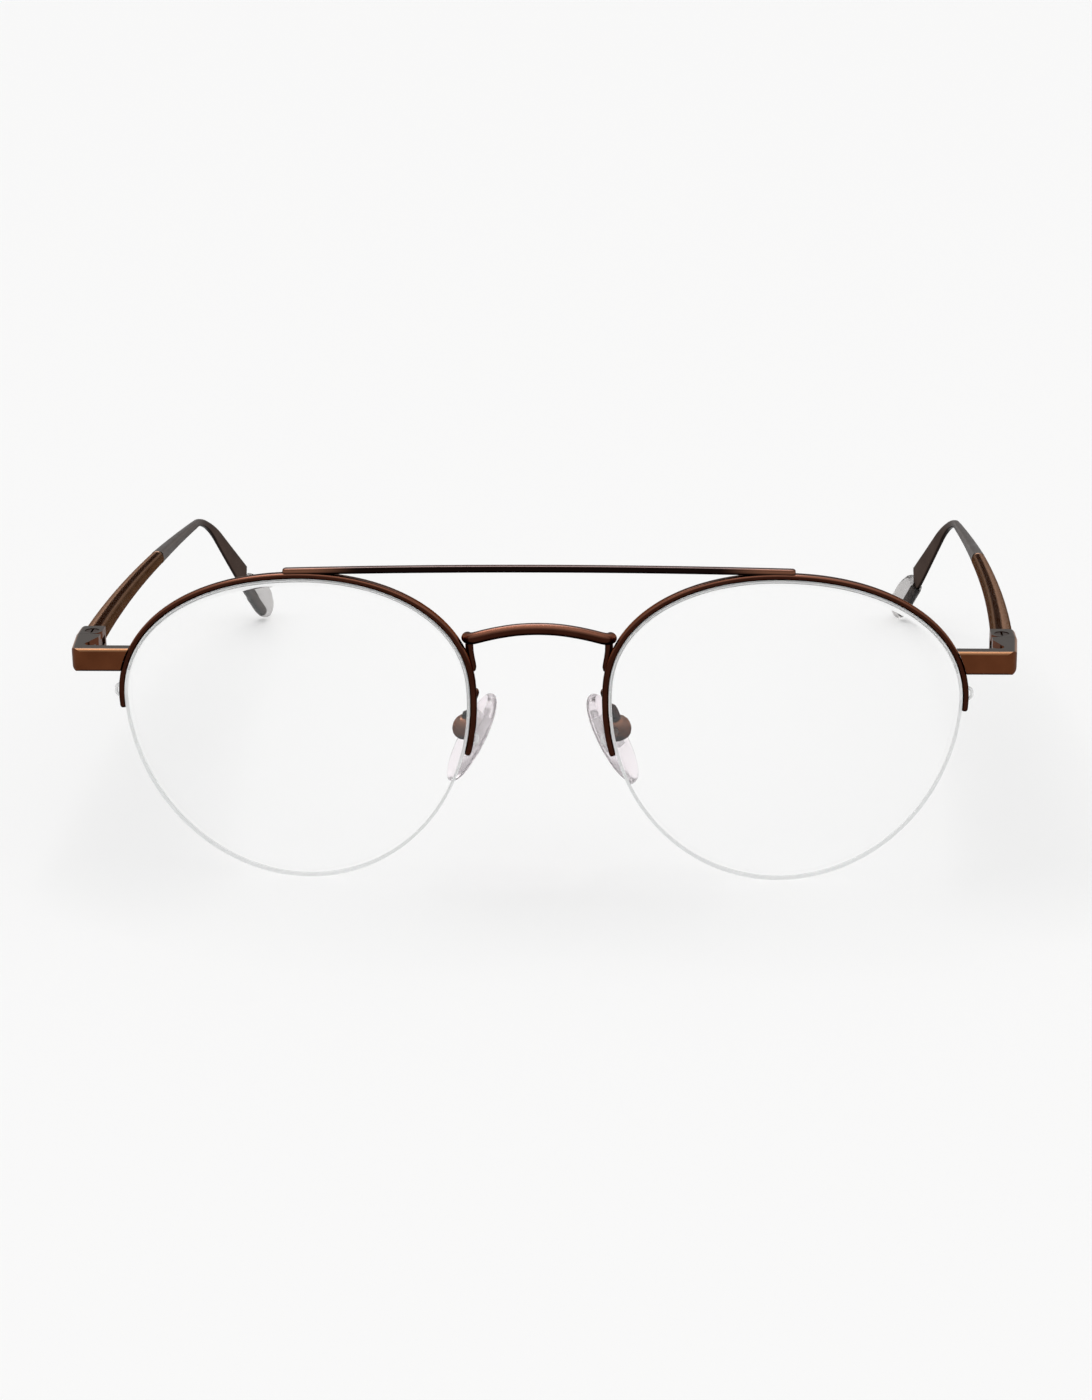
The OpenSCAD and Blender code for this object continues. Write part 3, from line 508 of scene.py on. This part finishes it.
def rim_section():
    """Section of the rim wire, outside the lens edge and behind its middle, grooved inside."""
    steps = 4
    half_deep, half_slot = RIM_DEEP / 2, RIM_GROOVE_WIDE / 2
    box = rounded_box(RIM_GAP, RIM_GAP + RIM_WIDE, -half_deep, half_deep, RIM_CORNER, steps)
    groove_floor = RIM_GAP + RIM_GROOVE_DEEP
    inner = [(RIM_GAP, half_slot), (groove_floor, half_slot),
             (groove_floor, -half_slot), (RIM_GAP, -half_slot)]
    two_corners = 2 * (steps + 1)
    return box[:two_corners] + inner + box[two_corners:]


near_end = [0, 0.03, 0.08, 0.16, 0.26, 0.38, END_ROUND]
RIM_STEPS = 150
rim_angles = [TAIL + d / MEAN_RADIUS for d in near_end]
rim_angles += [TAIL + (NOSE_END - TAIL) * i / RIM_STEPS for i in range(2, RIM_STEPS - 1)]
rim_angles += [NOSE_END - d / MEAN_RADIUS for d in reversed(near_end)]
middle = RIM_GAP + RIM_WIDE / 2
rim_rings = []
for angle in rim_angles:
    part = end_rounding(min(angle - TAIL, NOSE_END - angle) * MEAN_RADIUS)
    rim_rings.append(
        [at_edge(angle, middle + (out - middle) * part, back * part) for out, back in rim_section()]
    )
for side, sign in SIDES:
    fit(skin(side + "_rim_wire", rim_rings, sign), side + "_rim", "frame", "frame", dark_brown)

# Nylon cords
# One clear nylon cord under each lens: knotless, out through the second hole at the rim end,
# along outside the rim, back in through the first, and so round the lower lens in its groove.
CORD_THICK, CORD_POINTS, CORD_IN, LOOP_OUT = 0.5, 12, -0.25, 0.25
HOLE_IN, HOLE_PITCH = 1.8, 1.6
LOOP_BEND, GROOVE_BEND = 0.65, 0.3
CORD_END, IN_HOLE = -0.05, 0.5
cord_out = RIM_GAP + RIM_WIDE + LOOP_OUT + CORD_THICK / 2


def corner(a, b, c, radius, steps=8):
    """Points of a rounded corner at b on the way from a to c."""
    u, v = (a - b).normalized(), (c - b).normalized()
    half_turn = u.angle(v) / 2
    centre = b + (u + v).normalized() * radius / math.sin(half_turn)
    run_in = b + u * radius / math.tan(half_turn) - centre
    run_out = b + v * radius / math.tan(half_turn) - centre
    points = []
    for i in range(steps + 1):
        t = i / steps
        points.append(centre + (run_in * (1 - t) + run_out * t).normalized() * radius)
    return points


def ring_round(centre, along, up, half_side, half_up, size, power=2.0, lift=0.0):
    """Ring of points square to along; power above 2 gives it flatter sides."""
    side_way = up.cross(along).normalized()
    up_way = along.cross(side_way)
    ring = []
    for i in range(size):
        turn = 2 * math.pi * (i + 0.5) / size
        c, s = math.cos(turn), math.sin(turn)
        c = math.copysign(abs(c) ** (2 / power), c)
        s = math.copysign(abs(s) ** (2 / power), s)
        ring.append(centre + side_way * half_side * c + up_way * (lift + half_up * s))
    return ring


def wire(points, up, halves, size):
    """Rings of a round wire through the points, half as thick at each as halves says."""
    last = len(points) - 1
    rings = []
    for i, (point, half) in enumerate(zip(points, halves)):
        along = (points[min(i + 1, last)] - points[max(i - 1, 0)]).normalized()
        rings.append(ring_round(point, along, up, half, half, size))
    return rings


def cord_at(angle, out):
    """Point of the cord that far outside the lens edge, over the middle of it."""
    return at_edge(angle, out, 0)


def cord_corner(way, radius):
    """The cord rounding the middle one of three places, each an angle and a distance out."""
    return corner(*[cord_at(angle, out) for angle, out in way], radius)


# The two holes at the temple end of the rim and the two at its nose end, as the cord comes to them
a0, a1 = TAIL + (HOLE_IN + HOLE_PITCH) / MEAN_RADIUS, TAIL + HOLE_IN / MEAN_RADIUS
nose = NOSE_END - 2 * math.pi
b0, b1 = nose - HOLE_IN / MEAN_RADIUS, nose - (HOLE_IN + HOLE_PITCH) / MEAN_RADIUS
CORD_STEPS, TURN_IN = 120, 0.05
run = [cord_at(a0, CORD_END)]
run += cord_corner([(a0, IN_HOLE), (a0, cord_out), (a1, cord_out)], LOOP_BEND)
run += cord_corner([(a0, cord_out), (a1, cord_out), (a1, IN_HOLE)], LOOP_BEND)
run += cord_corner([(a1, IN_HOLE), (a1, CORD_IN), (a1 - TURN_IN, CORD_IN)], GROOVE_BEND)
run += [cord_at(a1 + (b0 - a1) * i / CORD_STEPS, CORD_IN) for i in range(2, CORD_STEPS - 1)]
run += cord_corner([(b0 + TURN_IN, CORD_IN), (b0, CORD_IN), (b0, IN_HOLE)], GROOVE_BEND)
run += cord_corner([(b0, IN_HOLE), (b0, cord_out), (b1, cord_out)], LOOP_BEND)
run += cord_corner([(b0, cord_out), (b1, cord_out), (b1, IN_HOLE)], LOOP_BEND)
run += [cord_at(b1, CORD_END)]
cord_rings = wire(run, Vector((0, 1, 0)), [CORD_THICK / 2] * len(run), CORD_POINTS)
for side, sign in SIDES:
    cord = skin(side + "_nylon_cord", cord_rings, sign)
    fit(cord, side + "_cord", "frame", "nylon", nylon)
    cord.visible_shadow = False

# Brow bar
# A slim bar of the same nickel alloy, drawn with rounded edges and bent in one flat curve. It is
# laid over both rims and soldered to them where it crosses, and lacquered nearly black.
BAR_HALF, BAR_TOP, BAR_DROP, BAR_TALL, BAR_DEEP = 37.3, 49.21, 0.86, 1.06, 1.3
BAR_AHEAD, BAR_BOW = 1.15, 1.25
BAR_POINTS, BAR_FLATNESS, BAR_STEPS = 24, 2.9, 40
UPRIGHT = Vector((0, 0, 1))
bar_ends = [BAR_HALF - d for d in (0, 0.02, 0.06, 0.13, 0.22, 0.34, END_ROUND)]
bar_at = [-x for x in bar_ends]
bar_at += [BAR_HALF * i / BAR_STEPS for i in range(1 - BAR_STEPS, BAR_STEPS)]
bar_at += reversed(bar_ends)


def bar_point(x):
    """Middle of the bar at that distance from the middle plane."""
    share = (x / BAR_HALF) ** 2
    return Vector((x, BAR_BOW * share - BAR_AHEAD - FRONT_MIDDLE,
                   BAR_TOP - BAR_TALL / 2 - BAR_DROP * share))


bar_rings = []
for x in bar_at:
    part = end_rounding(BAR_HALF - abs(x))
    along = (bar_point(x + 0.1) - bar_point(x - 0.1)).normalized()
    half_deep, half_tall = BAR_DEEP / 2 * part, BAR_TALL / 2 * part
    bar_rings.append(
        ring_round(bar_point(x), along, UPRIGHT, half_deep, half_tall, BAR_POINTS, BAR_FLATNESS)
    )
# The copper toward both ends of the bar is painted highlight, the grey top a painted reflection,
# the darker underside painted shade
near_black = lacquered_metal(
    "near_black_lacquer", (0.3, 0.28, 0.28), 0.2,
    {
        "Deep": (0.002, 0.001, 0.001), "Bright": (0.006, 0.0025, 0.002),
        "Painted Highlight": (0.01, 0.005, 0.004), "End Glint": (0.2, 0.085, 0.05),
        "Painted Reflection": (0.28, 0.21, 0.2), "Under": (0.001, 0.001, 0.001),
    },
    0.2, 0.3,
    {"Painted Highlight From": -0.35, "Painted Highlight To": 0.25, "Ends From": 0.026, "Ends To": 0.0335},
)
fit(skin("brow_wire", bar_rings), "brow_bar", "frame", "frame", near_black)

# Lower bridge
# A round wire of nickel alloy arched between the rims, its ends turned back over them. Under each
# end a thinner leg runs down behind the rim and is soldered to it.
BRIDGE_UP, BRIDGE_AHEAD, BRIDGE_THICK, LEG_THICK, HALF_GAP = 39.5, 1, 1.8, 1.2, 10.19
BRIDGE_POINTS, WIRE_POINTS, RUN_STEPS = 20, 18, 6
half_bridge = [
    (-7.3, -0.97, -0.14), (-4.7, -0.86, -0.55), (-2.6, -0.72, -1.04), (-1.3, -0.58, -1.42),
    (-0.6, -0.4, -1.64), (-0.05, -0.05, -1.78), (0.3, 0.45, -1.82), (0.45, 0.95, -1.8),
]
leg = [
    (0, 0.42, -1.9), (0.06, 0.4, -2.8), (0.04, 0.35, -3.7), (-0.08, 0.29, -4.7),
    (-0.29, 0.24, -5.9), (-0.39, 0.22, -6.9),
]


def smooth_run(points, steps):
    """A smooth curve through the points, so many steps to each piece."""
    first = points[0] * 2 - points[1]
    last = points[-1] * 2 - points[-2]
    chain = [first, *points, last]
    out = []
    for i in range(1, len(chain) - 2):
        a, b, c, d = chain[i - 1 : i + 3]
        for j in range(steps):
            t = j / steps
            bend, twist = 2 * a - 5 * b + 4 * c - d, 3 * b - a - 3 * c + d
            out.append((2 * b + (c - a) * t + bend * t**2 + twist * t**3) / 2)
    return out + [points[-1]]


def by_bridge(points):
    """Points given from the right end of the bridge, seen from the part's origin."""
    return [Vector((HALF_GAP + x, y - FRONT_MIDDLE, BRIDGE_UP + z)) for x, y, z in points]


def round_end(steps_from_end):
    """Share of full thickness so many steps from a rounded end."""
    return 0.5 + 0.5 * math.sqrt(min(steps_from_end / 4, 1))


right_half = by_bridge(half_bridge)
left_half = [Vector((-p.x, p.y, p.z)) for p in reversed(right_half)]
crest = Vector((0, -BRIDGE_AHEAD - FRONT_MIDDLE, BRIDGE_UP))
bridge_run = smooth_run([*left_half, crest, *right_half], RUN_STEPS)
last = len(bridge_run) - 1
bridge_halves = [BRIDGE_THICK / 2 * round_end(min(i, last - i)) for i in range(last + 1)]
bridge_rings = wire(bridge_run, UPRIGHT, bridge_halves, BRIDGE_POINTS)
fit(skin("bridge_wire", bridge_rings), "bridge", "frame", "frame", dark_brown)
leg_run = smooth_run(by_bridge(leg), RUN_STEPS)
last = len(leg_run) - 1
leg_halves = [LEG_THICK / 2 * round_end(last - i) for i in range(last + 1)]
leg_rings = wire(leg_run, Vector((0, 1, 0)), leg_halves, WIRE_POINTS)
for side, sign in SIDES:
    fit(skin(side + "_bridge_leg", leg_rings, sign), "bridge", "frame", "frame", dark_brown)

# End pieces and temple blocks
# Broad strips of the same alloy, milled, bent round the corner and soldered to the rim. The strip
# ends in the hinge tongue, and the forked block on the temple closes round it.
# The copper on its up and forward edges is painted highlight, the grey-brown top a painted
# reflection, the dark underside painted shade
brown = lacquered_metal(
    "copper_brown_lacquer", (0.72, 0.72, 0.72), 0.25,
    {
        "Deep": (0.075, 0.023, 0.009), "Bright": (0.125, 0.041, 0.017),
        "Painted Highlight": (0.42, 0.2, 0.1), "Painted Reflection": (0.12, 0.1, 0.088), "Under": (0.012, 0.003, 0.002),
    },
    0.25, 0.38,
)
for side, _ in SIDES:
    for name in ("_endpiece", "_temple_block"):
        finish_node(side + name, brown)

# Hinge and pad screws
# Slotted screws, sunk in the upper ear of each hinge and across each pad box, of steel under the
# same brown plating.
# The lighter tone on its up and forward edges is painted highlight, the top tone a painted
# reflection, the dark underside painted shade
screw_brown = lacquered_metal(
    "brown_plated_screw", (0.7, 0.7, 0.7), 0.4,
    {
        "Deep": (0.05, 0.03, 0.02), "Bright": (0.12, 0.08, 0.06),
        "Painted Highlight": (0.2, 0.14, 0.11), "Painted Reflection": (0.1, 0.075, 0.065), "Under": (0.02, 0.01, 0.008),
    },
    0.2, 0.45,
)
for side, _ in SIDES:
    finish_node(side + "_hinge_screw", screw_brown)
    finish_node(side + "_pad_screw", screw_brown)

# Temples
# Spring wire of titanium alloy, round inside the sleeve and rolled flat behind it, bent over the
# ear and widened to a blade that runs into the tip cover.
HINGE_X, HINGE_Y, HINGE_Z = 68.64, 13.8, 33.37
TEMPLE_LONG, BEND_AT, BEND_RADIUS = 134.24, 99.6, 13.3
FALL, TIP_FALL, FLARE, BOW, TOE_IN = 5.24, 52.7, 3.98, 0.0709, 25.3
SLEEVE_LONG, CORE_THICK, TIP_LONG, CORE_IN = 65.2, 1.2, 14.0, 0.59
BAR_SIDE, SIDE_TAPER, THIN_SIDE = 1.06, 0.46, 0.55
BAR_HIGH, HIGH_TAPER, THIN_HIGH = 1.12, 0.47, 0.65
BLADE_HIGH, TONGUE_HIGH, BLADE_FROM, TONGUE_DROP = 1.75, 0.75, 6, 0.5
CORE_POINTS, CORE_FLATNESS = 24, 3.6
bend_long = BEND_RADIUS * math.radians(TIP_FALL - FALL)
sleeve_end = SLEEVE_LONG + 0.3
cover_at = TEMPLE_LONG - TIP_LONG
blade_end = cover_at + 1
mouth_at = cover_at + 3.1


def bent(s):
    """Share of the ear bend that lies before s, in millimetres along the temple."""
    return min(max((s - BEND_AT) / bend_long, 0), 1)


def heading(s):
    """The way the temple runs at s."""
    turn = math.radians(FLARE - BOW * s - TOE_IN * bent(s))
    down = math.radians(FALL + (TIP_FALL - FALL) * bent(s))
    level = math.cos(down)
    return Vector((math.sin(turn) * level, math.cos(turn) * level, -math.sin(down)))


def temple_at(s):
    """Point of the temple's middle line at s, added up from short runs."""
    steps = 100
    step = s / steps
    point = Vector((HINGE_X, HINGE_Y - FRONT_MIDDLE, HINGE_Z))
    for i in range(steps):
        point += heading((i + 0.5) * step) * step
    return point


def temple_ring(s, half_side, half_up, lift, size, power=2.0):
    """Ring round the temple's middle line at s, or lifted off it."""
    return ring_round(temple_at(s), heading(s), UPRIGHT, half_side, half_up, size, power, lift)


def core_side(s):
    """Half the width of the metal at s, seen from above."""
    if s < sleeve_end:
        return CORE_THICK / 2
    if s < BEND_AT:
        return BAR_SIDE - SIDE_TAPER * (s - SLEEVE_LONG) / (BEND_AT - SLEEVE_LONG)
    return THIN_SIDE


def core_high(s):
    """Half the height of the metal at s, seen from the side."""
    if s < sleeve_end:
        return CORE_THICK / 2
    if s < BEND_AT:
        return BAR_HIGH - HIGH_TAPER * (s - SLEEVE_LONG) / (BEND_AT - SLEEVE_LONG)
    blade_start = BEND_AT + BLADE_FROM
    if s < blade_start:
        return THIN_HIGH
    if s < blade_end:
        return THIN_HIGH + (BLADE_HIGH - THIN_HIGH) * (s - blade_start) / (blade_end - blade_start)
    return BLADE_HIGH - TONGUE_DROP * (s - blade_end) if s < blade_end + 2 else TONGUE_HIGH


def core_lift(s):
    """Height of the metal over the temple's middle line: its tongue behind the blade lies lower."""
    return 0 if s < blade_end else -TONGUE_DROP * min(s - blade_end, 2)


def evenly(start, end, steps):
    """So many places from start to end, without the start itself."""
    return [start + (end - start) * i / steps for i in range(1, steps + 1)]


core_at = [-CORE_IN, 0, 0.5 * SLEEVE_LONG, SLEEVE_LONG - 1, sleeve_end - 0.01, sleeve_end + 0.01]
core_at += evenly(sleeve_end + 0.01, BEND_AT, 16)
core_at += evenly(BEND_AT, BEND_AT + bend_long, 20)
core_at += evenly(BEND_AT + bend_long, blade_end, 8)
core_at += evenly(blade_end, blade_end + 2, 8)
core_at += [TEMPLE_LONG - back for back in (8, 4, 2.4, 1.9, 1.6)]
core_rings = []
for s in core_at:
    part = 0.55 if s > TEMPLE_LONG - 1.7 else 0.85 if s > TEMPLE_LONG - 2 else 1
    half_side, half_up = core_side(s) * part, core_high(s) * part
    flatness = 2.0 if s < sleeve_end else CORE_FLATNESS
    core_rings.append(temple_ring(s, half_side, half_up, core_lift(s), CORE_POINTS, flatness))
# The lighter tone on its up and forward edges is painted highlight, the top tone a painted
# reflection, the dark underside painted shade
bar_grey = lacquered_metal(
    "grey_brown_plating", (0.6, 0.6, 0.6), 0.3,
    {
        "Deep": (0.045, 0.03, 0.025), "Bright": (0.08, 0.056, 0.046),
        "Painted Highlight": (0.13, 0.1, 0.085), "Painted Reflection": (0.1, 0.075, 0.065), "Under": (0.01, 0.006, 0.005),
    },
    0.26, 0.4,
)
for side, sign in SIDES:
    core = skin(side + "_temple_bar", core_rings, sign)
    fit(core, side + "_temple_core", side + "_temple", "frame", bar_grey)

# Sleeves
# Thin tube rolled with fine ribs, slid over the front half of the temple as a springy grip and
# lacquered a lighter copper brown than the rest.
SLEEVE_FRONT, SLEEVE_BACK, SLEEVE_GAP, RIB_PITCH, RIB_DEEP = 3.4, 2.45, 0.2, 0.56, 0.085
# The light strips on its upper sides are painted highlight, the dark band along its top a painted
# reflection leaning toward the middle plane, the darker underside painted shade
sleeve_brown = lacquered_metal(
    "ribbed_sleeve_lacquer", (0.42, 0.34, 0.3), 0.3,
    {
        "Deep": (0.06, 0.034, 0.02), "Bright": (0.115, 0.068, 0.043),
        "Painted Highlight": (0.42, 0.25, 0.17), "Painted Reflection": (0.03, 0.015, 0.008), "Under": (0.015, 0.006, 0.004),
    },
    0.22, 0.3,
    {
        "Painted Highlight From": 0.5, "Painted Highlight To": 0.94, "Painted Reflection From": 0.945, "Painted Reflection To": 0.995,
        "Crown Lean": 0.3,
    },
)


PLAIN_END, RIB_STEPS, BORE_STEPS, BORE_GAP, SLEEVE_POINTS = 0.3, 6, 12, 0.05, 28
LIP_LONG, LIP_BACK = 0.18, 0.12


def sleeve_ring(s, cut):
    """Ring of the tapered sleeve at s, cut in that deep."""
    half = (SLEEVE_FRONT + (SLEEVE_BACK - SLEEVE_FRONT) * s / SLEEVE_LONG) / 2 - cut
    return temple_ring(s, half, half, 0, SLEEVE_POINTS)


ribs = math.floor((SLEEVE_LONG - SLEEVE_GAP - 2 * PLAIN_END) / RIB_PITCH)
sleeve_rings = [
    sleeve_ring(SLEEVE_GAP + on, LIP_BACK * (1 - on / LIP_LONG)) for on in (0, 0.06, LIP_LONG)
]
for i in range(RIB_STEPS * ribs + 1):
    s = SLEEVE_GAP + PLAIN_END + i * RIB_PITCH / RIB_STEPS
    share = 0.5 + 0.5 * math.cos(2 * math.pi * i / RIB_STEPS)
    sleeve_rings.append(sleeve_ring(s, RIB_DEEP * share**2))
for back, cut in ((LIP_LONG, 0), (0.06, 0.05), (0, LIP_BACK)):
    sleeve_rings.append(sleeve_ring(SLEEVE_LONG - back, cut))
half_bore = CORE_THICK / 2 + BORE_GAP
for i in range(BORE_STEPS + 1):
    s = SLEEVE_LONG + (SLEEVE_GAP - SLEEVE_LONG) * i / BORE_STEPS
    sleeve_rings.append(temple_ring(s, half_bore, half_bore, 0, SLEEVE_POINTS))
for side, sign in SIDES:
    sleeve = skin(side + "_ribbed_sleeve", sleeve_rings, sign, loop=True, crease=50)
    fit(sleeve, side + "_sleeve", side + "_temple", "sleeve", sleeve_brown)

# Tip covers
# Short moulded covers of clear, slightly smoky plastic, with a rounded end. Each is warmed and
# pushed over the narrow tongue that the temple blade ends in.
tip_clear = clear_stuff(
    "clear_tip_plastic", 1.0, 1.36, (1400, 4), ((0.44, 0.42, 0.415), (0.58, 0.565, 0.56)),
    (0.06, 0.2), (0.0001, 0.25),
)
COVER_SIDE, COVER_FOOT, COVER_TOP, COVER_RISE, COVER_BOW = 1.15, 2.25, 1.8, 1.1, 0.4
ROUND_FROM, RISE_TO, MOUTH_TO, MOUTH_PART = 0.62, 0.45, 0.02, 0.92
COVER_STEPS, COVER_FLATNESS, TONGUE_DOWN = 40, 2.3, -1


def cover_end(f):
    """Share of full size at the share f of the way to the rounded end."""
    return math.sqrt(1 - min(max((f - ROUND_FROM) / (1 - ROUND_FROM), 0), 0.985) ** 2.4)


cover_rings = []
bore = [(TEMPLE_LONG - 1.65, 0.5), (TEMPLE_LONG - 1.9, 0.82), (TEMPLE_LONG - 2.4, 0.98)]
bore += [(mouth_at + 2, 0.98), (mouth_at, 0.98)]
for s, part in bore:
    half_side, half_up = THIN_SIDE * part, TONGUE_HIGH * part
    cover_rings.append(
        temple_ring(s, half_side, half_up, TONGUE_DOWN, CORE_POINTS, CORE_FLATNESS)
    )
for i in range(COVER_STEPS + 1):
    f = (i / COVER_STEPS) ** 0.8
    s = mouth_at + (TEMPLE_LONG - mouth_at) * f
    close = cover_end(f)
    low = COVER_FOOT * close
    high = COVER_TOP + COVER_RISE * math.sin(math.pi / 2 * min(f / RISE_TO, 1))
    high = high * close - COVER_BOW * (1 - close)
    mouth = MOUTH_PART + (1 - MOUTH_PART) * min(f / MOUTH_TO, 1)
    half_side, half_up = COVER_SIDE * close**0.7 * mouth, (high + low) / 2 * mouth
    cover_rings.append(
        temple_ring(s, half_side, half_up, (high - low) / 2, CORE_POINTS, COVER_FLATNESS)
    )
for side, sign in SIDES:
    cover = skin(side + "_clear_cover", cover_rings, sign)
    fit(cover, side + "_tip_cover", side + "_temple", "tip", tip_clear)
    cover.visible_shadow = False

# Pad arms
# Thin round wires of nickel alloy, soldered behind the rims and lacquered with them, and curved
# back and down to the pad boxes.
ARM_THICK = 1.1
SOLDERED_PART, SOLDERED_STEPS = 0.55, 5
arm_points = [
    (9.44, 0.25, 29.88), (9.51, 0.32, 29.18), (9.89, 0.85, 28.18), (10.5, 1.9, 27.1),
    (10.98, 2.8, 26), (11.3, 3.6, 24.8), (11.46, 4.3, 23.6),
]
arm_run = smooth_run([Vector((x, y - FRONT_MIDDLE, z)) for x, y, z in arm_points], RUN_STEPS)
arm_halves = []
for i in range(len(arm_run)):
    part = SOLDERED_PART + (1 - SOLDERED_PART) * math.sqrt(min(i / SOLDERED_STEPS, 1))
    arm_halves.append(ARM_THICK / 2 * part)
arm_rings = wire(arm_run, Vector((1, 0, 0)), arm_halves, WIRE_POINTS)
for side, sign in SIDES:
    fit(skin(side + "_arm_wire", arm_rings, sign), side + "_pad_arm", "frame", "frame", dark_brown)

# Pad boxes
# Small domed cups of the same alloy, pressed, soldered to the arm ends and lacquered a glossy
# brown. The cross screw goes through each.
# The copper on its up and forward faces is painted highlight, the pale top a painted reflection,
# the dark underside painted shade
cup_brown = lacquered_metal(
    "glossy_brown_cup", (0.45, 0.4, 0.4), 0.15,
    {
        "Deep": (0.045, 0.016, 0.008), "Bright": (0.085, 0.03, 0.014),
        "Painted Highlight": (0.27, 0.12, 0.07), "Painted Reflection": (0.3, 0.2, 0.16), "Under": (0.006, 0.002, 0.001),
    },
    0.16, 0.26,
)
for side, _ in SIDES:
    finish_node(side + "_pad_box", cup_brown)

# Pad inserts
# Hard plates of clear plastic, moulded inside the pads. The lug on each stands in the pad box and
# turns a few degrees on the cross screw.
insert_clear = clear_stuff(
    "clear_insert_plastic", 0.7, 1.49, (1200, 2), ((0.8, 0.8, 0.8), (0.93, 0.93, 0.93)), (0.05, 0.2)
)
for side, _ in SIDES:
    finish_node(side + "_pad_insert", insert_clear).visible_shadow = False

# Nose pads
# Soft drop-shaped pads of clear silicone, moulded round the inserts, with a faint pink cast where
# they are thick at the rim.
PAD_LONG, PAD_WIDE, PAD_THICK = 14.6, 7.8, 2.1
PAD_AT = Vector((10.38, 5 - FRONT_MIDDLE, 20.6))
PAD_TURN = Matrix.Rotation(math.radians(-19), 3, "Z") @ Matrix.Rotation(math.radians(-29), 3, "Y")
PAD_POINTS = 48
silicone = clear_stuff(
    "clear_silicone", 0.95, 1.36, (180, 2), ((0.95, 0.86, 0.905), (0.985, 0.955, 0.97)),
    (0.04, 0.12),
)
tree = silicone.node_tree
shader = tree.nodes["Principled BSDF"]
bump(tree, shader, surface_noise(tree, 5000, 3), 0.00002, 0.2)


def pad_ring(part, x):
    """Ring of the pad's drop shape at that share of full size, x across its thickness."""
    ring = []
    for i in range(PAD_POINTS):
        turn = 2 * math.pi * i / PAD_POINTS
        c, s = math.cos(turn), math.sin(turn)
        blunt = math.copysign(abs(c) ** 0.9, c)
        point = Vector((x, PAD_WIDE / 2 * part * blunt, PAD_LONG / 2 * part * s))
        ring.append(PAD_TURN @ point + PAD_AT)
    return ring


# Share of full size, and how far from the nose side
pad_shape = [
    (0.05, 0), (0.25, 0), (0.45, 0.02), (0.62, 0.1), (0.77, 0.25), (0.88, 0.46), (0.95, 0.72),
    (0.99, 1), (1, 1.25), (0.99, 1.5), (0.965, 1.75), (0.92, 1.95), (0.86, PAD_THICK),
    (0.6, PAD_THICK), (0.3, PAD_THICK), (0.05, PAD_THICK),
]
pad_rings = [pad_ring(part, x - PAD_THICK / 2) for part, x in pad_shape]
for side, sign in SIDES:
    pad = skin(side + "_silicone_pad", pad_rings, sign)
    fit(pad, side + "_nose_pad", side + "_pad", "pad", silicone)
    pad.visible_shadow = False
